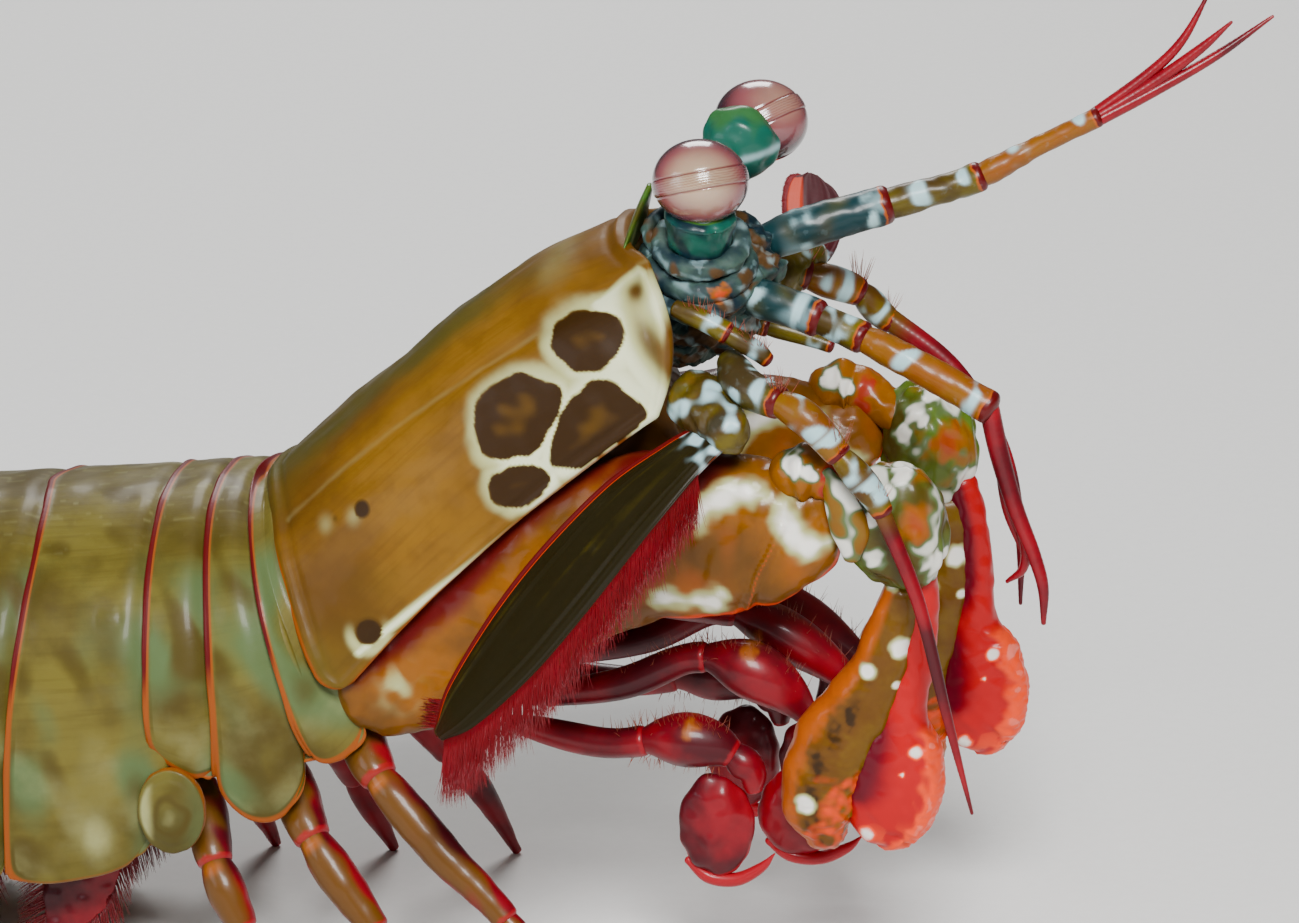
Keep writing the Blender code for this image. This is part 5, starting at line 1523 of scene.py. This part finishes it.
def collar_sheets():
    """Ball joint between arm and wrist: a short barrel with a fold, white above and red in
    front; and the thin pale plate that guards it."""
    ball = limb(BALL, SIDEWAYS, along=60, around=64)
    far, p = ball.flow[..., 0], ball.points
    # pale: two white dabs on the ball's upper side, a painted highlight
    paint(ball, cool=0.9, pale=dabs(p, [(38.6, 42, 0.9), (39.8, 41.6, 0.7)], 0.3),
          dark=0.62 * dabs(p, [(41.2, 41.6, 1), (41, 40.2, 0.9)], 0.3))
    ball = raised(ball, 0.25 * bell(far - 1, 0.4) - 0.25 * bell(far - 1.8, 0.3)
                  + 0.06 * wobble(p, 1.4, 133))
    guard = limb(GUARD, SIDEWAYS, along=60, around=60)
    share = guard.flow[..., 1] / guard.flow[..., 1].max()
    paint(guard, pale=0.8 * cloud(guard.points, 2.6, 134, -1, 0.6), cool=0.6,
          rim=0.6 * smooth(0.85, 1, np.abs(share - 0.5) * 2))
    return [ball, guard]


def shaft_sheet():
    """Shaft: flat rod with an orange border behind and a granular orange-red heel."""
    sheet = limb(SHAFT, SIDEWAYS, along=160, around=96, power=2.4)
    p = sheet.points
    white = dabs(p, SHAFT_SPOTS)
    edge = aside(p, 0)
    heel = smooth(5.2, 2.4, np.hypot(p[..., 0] - 43, p[..., 2] - 15.6) + 0.6 * wobble(p, 2.2, 144))
    middle = bell(edge + 0.15, 0.4) * smooth(30, 23, p[..., 2])
    speckle = wobble(p, 0.8, 141) * 0.5 + wobble(p * (1, 1, 0.4), 1.4, 146) * 0.6
    paint(sheet, pale=white, cool=smooth(-0.1, -0.85, edge) * (1 - white),
          rim=heel * np.clip(0.47 + 0.07 * wobble(p, 1.2, 145), 0, 0.6) * (1 - white),
          dark=np.clip(middle * (0.5 + 0.3 * speckle) + 0.05, 0, 0.75) * (1 - white))
    return raised(sheet, 0.08 * wobble(p, 3, 142) + 0.05 * wobble(p, 0.7, 143) * (0.25 + heel))


def hammer_sheet(side):
    """Hammer: a stem that swells into a bulb, with a worn striking face along its front."""
    sheet = limb(HAMMER, SIDEWAYS, along=170, around=96, power=2.1)
    p = sheet.points
    z, edge = p[..., 2], aside(p, 0)
    face = smooth(23.4, 21.6, z) * smooth(0.45, 0.8, edge + 0.1 * wobble(p, 1.4, 152))
    # shade: painted shade on the bulb's side next to the shaft
    shade = smooth(0.5, -0.9, edge) * smooth(25.5, 21.5, z) * smooth(15.5, 18, z)
    # the far hammer also gets painted shade along its stem
    if side == "l":
        shade = np.maximum(shade, smooth(0.9, -0.5, edge) * smooth(22, 27, z))
    # pale: worn flecks on the face, partly painted highlights, and the white spots
    paint(sheet, dark=0.55 * shade * (1 - face),
          cool=np.maximum(0.9 * face, 0.55 * smooth(17, 14, z) * cloud(p, 2.4, 153, -0.2, 0.3)),
          pale=np.maximum(0.52 * face * cloud(p, 1.5, 155, 0.2, 1.1), 0.9 * dabs(p, HAMMER_SPOTS)))
    return raised(sheet, 0.28 * face + 0.05 * wobble(p, 1.6, 151) + face * 0.05 * wobble(p, 0.7, 154))


def make_claws():
    arm, rod, club, joint = claw_shell(), shaft_shell(), hammer_shell(), wrist_shell()
    for side in SIDES:
        wrist = [carpus_sheet(), *collar_sheets()]
        for name, sheets, material, slot, node in (
                ("arm_", [merus_sheet()], arm, "claw_arm", "claw_merus_"),
                ("wrist_", wrist, joint, "claw_arm", "claw_carpus_"),
                ("shaft_", [shaft_sheet()], rod, "claw_arm", "claw_propodus_"),
                ("hammer_", [hammer_sheet(side)], club, "claw_hammer", "claw_dactyl_")):
            for sheet in sheets:
                if side == "l":
                    sheet.points[..., 1] *= -1
                if name in ("shaft_", "hammer_"):
                    sheet.points[:] = swing(sheet.points, PROPODUS_PIVOT, PROPODUS_SWING[side])
                    sheet.points[:] += PROPODUS_SHIFT[side]
            build(name + side, sheets, material, slot, node + side)


# Mouth limbs, legs and swimming legs

PALPS = {
    "r": [(29.9, -8.4, 52, 0.7), (32.2, -8.7, 51.2, 0.75), (35.4, -8.6, 49.4, 0.7),
          (36.4, -8.6, 48.6, 0.5)],
    "l": [(30.6, 8.2, 46.6, 0.7), (32.6, 8.4, 46.2, 0.75), (36, 8.6, 45.4, 0.7), (38.6, 8.6, 44.6, 0.5)],
}
# Small grasping limbs, for the right: rows, cuts, and the disc's centre and radii
RODS = {
    "3": ([(24, -2.1, 27.4, 1), (28, -2.2, 28.4, 1.1), (33.2, -2.3, 28, 1.6),
         (37.5, -2.4, 26, 1.5),
           (41.4, -2.6, 23.2, 1.1), (42.8, -2.8, 20.4, 0.9), (43, -2.8, 18.6, 0.7)],
          (0, 2, 4.2, 6), (43, -2.8, 17.4), (2.3, 1.3, 3)),
    "4": ([(18.6, -4.4, 21.2, 0.9), (25.6, -4.9, 22.9, 1), (30.6, -5.2, 25.2, 1.3),
         (34.4, -5.6, 24.9, 1.8),
           (37.6, -5.6, 23, 1.5), (39.2, -5.5, 20.6, 0.9), (38.9, -5.4, 17.6, 0.8),
           (38.6, -5.3, 15.4, 0.7)],
          (0, 2.2, 4.6, 7), (38.4, -5.2, 14), (2.9, 1.2, 3.3)),
    "5": ([(17.6, -5.8, 19.8, 0.9), (24.4, -6.5, 18.9, 1), (29, -6.9, 19.6, 1.6),
         (32.5, -7, 19.4, 1.6),
           (35, -7, 17.8, 1), (35.4, -7, 16.2, 0.8)],
          (0, 1.6, 3.4, 5), (32.7, -7, 13.3), (2.7, 1.3, 3.9)),
}
# The claw that folds over a disc: ahead and up in the disc's radii, and its half thickness
HOOK = [(-0.75, -0.72, 0.3), (-0.2, -1.02, 0.5), (0.55, -1.04, 0.5), (1.2, -0.78, 0.36), (1.55, -0.5, 0.06)]
ROD_SPOTS = [(35, 26.5, 0.7), (31, 21, 0.6)]
LEGS = {
    "1_r": [(6.6, -7.6, 20.2, 1.5), (9.2, -12, 17.6, 1.5), (14.3, -14, 12.6, 1.25),
            (18.5, -15.2, 9, 1.1),
            (21.2, -16, 5.4, 0.8), (22.8, -16.3, 0.2, 0.4)],
    "2_r": [(1.6, -7.6, 16.6, 1.5), (4.3, -12, 12.7, 1.45), (8.8, -14, 7.3, 1.2),
            (11.6, -15, 3.8, 0.9),
            (13.9, -15.6, 0.2, 0.4)],
    "3_r": [(-4.6, -7.6, 14.4, 1.4), (-2.8, -12, 10.4, 1.4), (-0.7, -13.5, 6.5, 1.15),
            (1.4, -14.6, 3.2, 0.85),
            (3.2, -15.2, 0.2, 0.4)],
    "1_l": [(6, 7.6, 19.8, 1.5), (5.8, 12.4, 15.4, 1.5), (8.6, 15.6, 9.6, 1.25), (11.2, 17.4, 5.2, 0.9),
            (13.6, 18.6, 0.2, 0.4)],
    "2_l": [(1.2, 7.6, 16.2, 1.5), (0.8, 12.2, 12, 1.45), (1.6, 15.2, 7.2, 1.2), (2.8, 16.8, 3.6, 0.9),
            (4.2, 17.8, 0.2, 0.4)],
    "3_l": [(-5, 7.6, 14.2, 1.4), (-6, 11.6, 10.2, 1.4), (-6.4, 14.6, 6.4, 1.15),
            (-5.8, 16.2, 3.2, 0.85),
            (-4.8, 17.2, 0.2, 0.4)],
}
# Where the swimming legs hang, as x and z
PLEOPOD_ROOTS = [(-12.6, 15.2), (-22.2, 13.8), (-31.4, 12.6), (-40, 10.8), (-47.6, 9)]
PLEOPOD_FLAT = (0.3, 1, 0)


def make_mouth_limbs():
    feeler, red = feeler_shell(), limb_shell()
    for side, sign in SIDES.items():
        build("palp_" + side, ringed(jointed(PALPS[side], (0, 1.4, 3), fine=0.15, rim=0.4)), feeler,
              "small_limbs", "maxilliped_1_" + side)
        for number, (rows, cuts, centre, radii) in RODS.items():
            x, y, z = centre[0], -sign * centre[1], centre[2]
            sheets = jointed(mirrored(rows, side), cuts, fine=0.2, around=30, belly=0.45)
            for sheet in sheets:
                paint(sheet, pale=0.45 * dabs(sheet.points, ROD_SPOTS, 0.4), rim=0.5 * sheet.marks[..., RIM])
            disc = ellipsoid((x, y, z), radii, rings=50, around=70)
            ahead, up = (disc.points[..., 0] - x) / radii[0], (disc.points[..., 2] - z) / radii[2]
            paint(disc, rim=0.6 * smooth(0.84, 0.98, np.hypot(ahead, up)) * smooth(0.3, -0.5, up))
            disc = raised(disc, 0.12 * wobble(disc.points, 2.6, 163))
            hook = [(x + a * radii[0], y, z + b * radii[2], thick) for a, b, thick in HOOK]
            hook = paint(limb(hook, SIDEWAYS, along=50, around=20), rim=0.75)
            build(f"grasping_limb_{number}_{side}", sheets + [disc, hook], red, "small_limbs",
                  f"maxilliped_{number}_{side}")


def make_legs():
    red = limb_shell()
    for number, rows in LEGS.items():
        last = len(rows) - 1
        sheets = jointed(rows, (0, 1, last - 1.9, last), fine=0.2, around=32, belly=0.25)
        for k, sheet in enumerate(sheets):
            p, far = sheet.points, sheet.flow[..., 0]
            outer = aside(p, 1) * SIDES[number[-1]]
            brown = smooth(0.1, 0.9, outer + 0.2 * wobble(p, 2.4, 161)) * smooth(2, 7, p[..., 2])
            paint(sheet, cool=0.9 * brown, pale=0.45 * bell(far - 0.8, 0.5) * smooth(0.5, 1, outer),
                  rim=0.5 * sheet.marks[..., RIM])
            sheets[k] = raised(sheet, 0.025 * wobble(p, 2.2, 162))
        build("walking_limb_" + number, sheets, red, "small_limbs", "walking_leg_" + number)


def pleopod_rows(x, z, side):
    """A swimming leg: a leaf that hangs from (x, z) nearly to the floor."""
    drop = z - 2.6
    return mirrored([(x, -7, z, 2.2, 0.9), (x - 0.5, -7.4, z - 0.35 * drop, 3, 0.6),
                     (x - 1.6, -7.7, z - 0.72 * drop, 2.9, 0.4), (x - 3, -8, z - drop, 1, 0.25)], side)


def make_pleopods():
    red = limb_shell()
    for number, (x, z) in enumerate(PLEOPOD_ROOTS, 1):
        for side in SIDES:
            leaf = limb(pleopod_rows(x, z, side), PLEOPOD_FLAT, along=60, around=48)
            leaf = raised(leaf, 0.07 * wobble(leaf.points, 1.6, 171))
            build(f"swimming_leaf_{number}_{side}", [leaf], red, "small_limbs", f"pleopod_{number}_{side}")


# Bristles

# On the bake map: the size of a bristle's patch, and the angle that spans the map's height,
# a little over a full turn
PATCH = 0.003
MAP_TURN = 6.5


def bristles(name, roots, ways, lengths, places, material, slot, droop, seed, thick=None):
    """Tapering three-sided hairs, all at once: point = root + way h L + droop h^2 L down,
    radius = r (1 - 0.85 h), h from -0.08 to 1, closed at root and tip. Each has its own patch
    of 0.003 on the bake map, at its root's place on the skin."""
    rng = np.random.default_rng(seed)
    roots, ways, lengths, places = (np.concatenate(v) for v in (roots, ways, lengths, places))
    count, rings = len(roots), 5
    h = np.linspace(-0.08, 1, rings)
    lengths = lengths * rng.uniform(0.82, 1.1, count)
    ways = normed(ways + rng.normal(scale=0.06, size=ways.shape))
    across = normed(np.cross(ways, (0.31, 0.17, 0.93)))
    through = np.cross(ways, across)
    sag = rng.normal(scale=0.05, size=(count, 3)) + (0, 0, -droop)
    middle = (roots[:, None] + ways[:, None] * (h * lengths[:, None])[..., None]
              + sag[:, None] * (h ** 2 * lengths[:, None])[..., None])
    radius = (thick or sizes().hair) / 2 * (1 - 0.85 * np.clip(h, 0, 1))
    turn = np.radians([0, 120, 240])
    spokes = across[:, None] * np.cos(turn)[:, None] + through[:, None] * np.sin(turn)[:, None]
    points = (middle[:, :, None] + spokes[:, None] * radius[:, None, None]).reshape(-1, 3)
    index = np.arange(count * rings * 3).reshape(count, rings, 3)
    turned = np.roll(index, -1, axis=2)
    squares = np.stack([index[:, :-1], turned[:, :-1], turned[:, 1:], index[:, 1:]], -1).reshape(-1, 4)
    triangles = np.vstack([index[:, 0, ::-1], index[:, -1]])
    if volume(points, squares, triangles) < 0:
        squares, triangles = squares[:, ::-1], triangles[:, ::-1]
    mesh = make_mesh(name, points, squares, triangles)
    spread = np.stack(np.broadcast_arrays((h / 1.1)[None, :, None], (turn / MAP_TURN)[None, None]), -1)
    uv = (places[:, None, None] * 0.99 + spread * PATCH).reshape(-1, 2)
    corners = np.empty(len(mesh.loops), np.int32)
    mesh.loops.foreach_get("vertex_index", corners)
    layer = mesh.uv_layers.new(name="OFBake")
    layer.data.foreach_set("uv", np.clip(uv, 0, 1)[corners].astype(np.float32).ravel())
    settle(name, mesh, material)


def fringe(name, edges, out, forward, material, slot, **how):
    """Bristles along edges of blades. Each edge is a blade's rows, the way through it, a
    count, two row numbers, the side (1 or -1), a seed and a length; a bristle's way is out
    of the blade and forward along it."""
    roots, ways, lengths, places = [], [], [], []
    for rows, flat, count, low, high, sign, seed, reach in edges:
        rng = np.random.default_rng(seed)
        t = np.sort(rng.uniform(low, high, count))
        path = curve(rows, t)
        ahead = normed(curve(rows, t + 0.05)[:, :3] - curve(rows, t - 0.05)[:, :3])
        across = sign * normed(np.cross(ahead, np.asarray(flat, float)))
        roots.append(path[:, :3] + across * path[:, 3:4] * 0.97)
        ways.append(across * out + ahead * forward)
        lengths.append(np.full(count, reach))
        places.append(np.stack([t / (len(rows) - 1), np.full(count, 0.5 + 0.25 * sign)
                                + rng.uniform(-0.02, 0.02, count)], -1))
    bristles(name, roots, ways, lengths, places, material, slot, **how)


def hairs(name, tufts, material, slot, seed):
    """Fine hairs on limbs. Each tuft is a limb's rows, two row numbers, a count, the way
    that its side faces and a length."""
    rng = np.random.default_rng(seed)
    roots, ways, lengths, places = [], [], [], []
    for rows, low, high, count, way, reach in tufts:
        t = rng.uniform(low, high, count)
        spot = curve(rows, t)
        out = normed(np.array(way) + rng.normal(scale=0.28, size=(count, 3)))
        roots.append(spot[:, :3] + out * spot[:, 3:4] * 0.97)
        ways.append(out)
        lengths.append(reach * rng.uniform(0.6, 1, count))
        places.append(np.stack([t / (len(rows) - 1), 0.5 + np.arctan2(out[:, 1], out[:, 2]) / MAP_TURN], -1))
    bristles(name, roots, ways, lengths, places, material, slot, droop=0.02, seed=seed, thick=0.07)


def make_bristles():
    size = sizes()
    red = bristle_shell("bristle_crimson", "crimson", "line")
    glassy = bristle_shell("bristle_glassy", "cornea_pink", "gold")
    for side, sign in SIDES.items():
        reach = size.scale_fringe * (1 if side == "r" else 0.12)
        fringe("scale_fringe_" + side,
               [(SCALES[side], SCALE_FLATS[side], 1500, 0.9, 6, -1, 6, reach),
                (SCALES[side], SCALE_FLATS[side], 160, 5.3, 6, 1, 8, reach * 0.5)],
               0.85, 0.5, red, "scales", droop=0.05, seed=11, thick=0.11)
        inner, outer = mirrored(TAIL_INNER, side), mirrored(TAIL_OUTER[3:], side)
        fringe("tail_fringe_" + side,
               [(fan, TAIL_FLAT, 240, low, high, edge, 17, size.tail_fringe)
                for fan, low, high in ((inner, 0.8, 3), (outer, 0, 2)) for edge in (1, -1)],
               0.7, 0.75, red, "tail", droop=0.04, seed=13)
        fringe("swimming_fringe_" + side,
               [(pleopod_rows(x, z, side), PLEOPOD_FLAT, 130, 0.9, 3, edge, 19, 2.4)
                for x, z in PLEOPOD_ROOTS for edge in (1, -1)],
               0.6, 0.8, red, "small_limbs", droop=0.05, seed=23)
        up, down = (0, 0.3 * sign, 1), (0, 0.2 * sign, -1)
        third, fourth, fifth = (mirrored(RODS[number][0], side) for number in "345")
        hairs("limb_hairs_" + side, [
            (third, 1, 4, 90, up, 1.5), (fourth, 1, 4.4, 110, up, 1.5),
            (fifth, 1, 3.3, 80, up, 1.4), (fifth, 1.5, 3.3, 40, down, 1),
            (PALPS[side], 0.4, 2.8, 70, up, 1.2)], glassy, "small_limbs", 31)
        arm = ANTENNAE[side]
        hairs("feeler_hairs_" + side, [(arm, 1.5, 1.7, 26, up, 1.8), (arm, 2.9, 3.1, 22, up, 2.2),
                                       (arm, 4.6, 4.9, 16, up, 1.6)], glassy, "feelers", 33)


# Stage

CAMERA_AIM = (26.75, 0, 38)
CAMERA_AZIMUTH, CAMERA_ELEVATION, CAMERA_DISTANCE, CAMERA_LENS = 9, 18, 450, 175
LAMPS_AIM = (10, 0, 30)
# Soft boxes: place, width, watts and colour
LAMPS = {
    "key_box": ((120, -420, 420), 200, 5.7, "#FFFFFF"),
    "fill_box": ((-380, -330, 220), 260, 1, "#EAF2FF"),
    "back_box": ((-60, 420, 380), 220, 1.8, "#FFFFFF"),
}
FLOOR_HALF = 3000
FLOOR_LINES = 9


def placed(point):
    """A point in the animal's millimetres, as a vector in the row's metres."""
    return Vector((np.array(point) + SHIFT) * MM)


def make_stage():
    line = np.linspace(-FLOOR_HALF, FLOOR_HALF, FLOOR_LINES)
    x, y = np.meshgrid(line, line, indexing="ij")
    points = np.stack([x, y, 0 * x], -1).reshape(-1, 3) - SHIFT
    index = np.arange(FLOOR_LINES ** 2).reshape(FLOOR_LINES, FLOOR_LINES)
    faces = np.stack([index[:-1, :-1], index[1:, :-1], index[1:, 1:], index[:-1, 1:]], -1).reshape(-1, 4)
    mesh = make_mesh("studio_floor", points, faces, np.zeros((0, 3), int))
    mesh.materials.append(floor_paper())
    floor = linked("studio_floor", mesh)
    world = bpy.data.worlds.new("studio")
    world.use_nodes = True
    background = world.node_tree.nodes["Background"]
    background.inputs["Color"].default_value = (*linear("#E8EAEC"), 1)
    background.inputs["Strength"].default_value = 0.13
    bpy.context.scene.world = world
    for name, (place, width, watts, shade) in LAMPS.items():
        light = bpy.data.lights.new(name, "AREA")
        light.shape = "SQUARE"
        light.size = width * MM
        light.energy = watts
        light.color = linear(shade)
        box = linked(name, light)
        box.location = placed(place)
        box.rotation_euler = (placed(LAMPS_AIM) - placed(place)).to_track_quat("-Z", "Y").to_euler()
    azimuth, elevation = math.radians(CAMERA_AZIMUTH), math.radians(CAMERA_ELEVATION)
    back = Vector((math.sin(azimuth) * math.cos(elevation), -math.cos(azimuth) * math.cos(elevation),
                   math.sin(elevation)))
    camera = bpy.data.cameras.new("studio_camera")
    camera.lens = CAMERA_LENS
    camera.sensor_width = 36
    camera.clip_start = 0.01
    holder = linked("studio_camera", camera)
    holder.location = placed(CAMERA_AIM) + back * CAMERA_DISTANCE * MM
    holder.rotation_euler = back.to_track_quat("Z", "Y").to_euler()
    bpy.context.scene.camera = holder


# Operators, panel and registration

def operator(idname, label, text, work):
    """An operator class that runs the given work."""
    def execute(self, context):
        work()
        return {"FINISHED"}
    name = "SHRIMP_OT_" + idname
    return type(name, (bpy.types.Operator,), {"bl_idname": "shrimp." + idname, "bl_label": label,
                                              "__doc__": text, "execute": execute})


OPERATORS = [
    operator("stage", "Stage", "Floor, lamps and camera", make_stage),
    operator("carapace", "Carapace", "The carapace with its spots", make_carapace),
    operator("trunk", "Trunk plates", "Trunk plates and the flesh between them", make_trunk),
    operator("telson", "Tail plate", "The toothed tail plate", make_telson),
    operator("tail_fan", "Tail limbs", "Two-branched limbs beside the tail plate", make_tail_fan),
    operator("head", "Head", "Head block and rostral plate", make_head),
    operator("eyes", "Eyes", "Eyes with their lined band, on their stalks", make_eyes),
    operator("antennules", "First feelers", "First feelers with their whips", make_antennules),
    operator("antennae", "Second feelers", "Second feelers", make_antennae),
    operator("scales", "Feeler scales", "Broad scales of the second feelers", make_scales),
    operator("claws", "Claws", "The two folded hammer claws", make_claws),
    operator("mouth_limbs", "Mouth limbs", "Palps and small grasping limbs", make_mouth_limbs),
    operator("legs", "Walking legs", "Six walking legs", make_legs),
    operator("pleopods", "Swimming legs", "Leaf-like legs under the abdomen", make_pleopods),
    operator("bristles", "Bristles", "Bristle fringes and hairs", make_bristles),
]


class SHRIMP_PT_panel(bpy.types.Panel):
    """Sizes, colours and operators of the model"""
    bl_label = "Mantis shrimp"
    bl_idname = "SHRIMP_PT_panel"
    bl_space_type = "VIEW_3D"
    bl_region_type = "UI"
    bl_category = "Shrimp"

    def draw(self, context):
        for group in (context.scene.shrimp_sizes, context.scene.shrimp_colours):
            for name in group.__annotations__:
                self.layout.prop(group, name)
        for kind in OPERATORS:
            self.layout.operator(kind.bl_idname)


CLASSES = [ShrimpSizes, ShrimpColours, *OPERATORS, SHRIMP_PT_panel]


def register():
    """Add the classes and the panel's values to the program."""
    for kind in CLASSES:
        bpy.utils.register_class(kind)
    bpy.types.Scene.shrimp_sizes = PointerProperty(type=ShrimpSizes)
    bpy.types.Scene.shrimp_colours = PointerProperty(type=ShrimpColours)


def unregister():
    """Take them out again."""
    del bpy.types.Scene.shrimp_colours
    del bpy.types.Scene.shrimp_sizes
    for kind in reversed(CLASSES):
        bpy.utils.unregister_class(kind)


def main():
    """Run every operator, then write the boxes of the solids and of the pieces."""
    register()
    for kind in OPERATORS:
        getattr(bpy.ops.shrimp, kind.bl_idname.split(".")[1])()


if __name__ == "__main__":
    main()
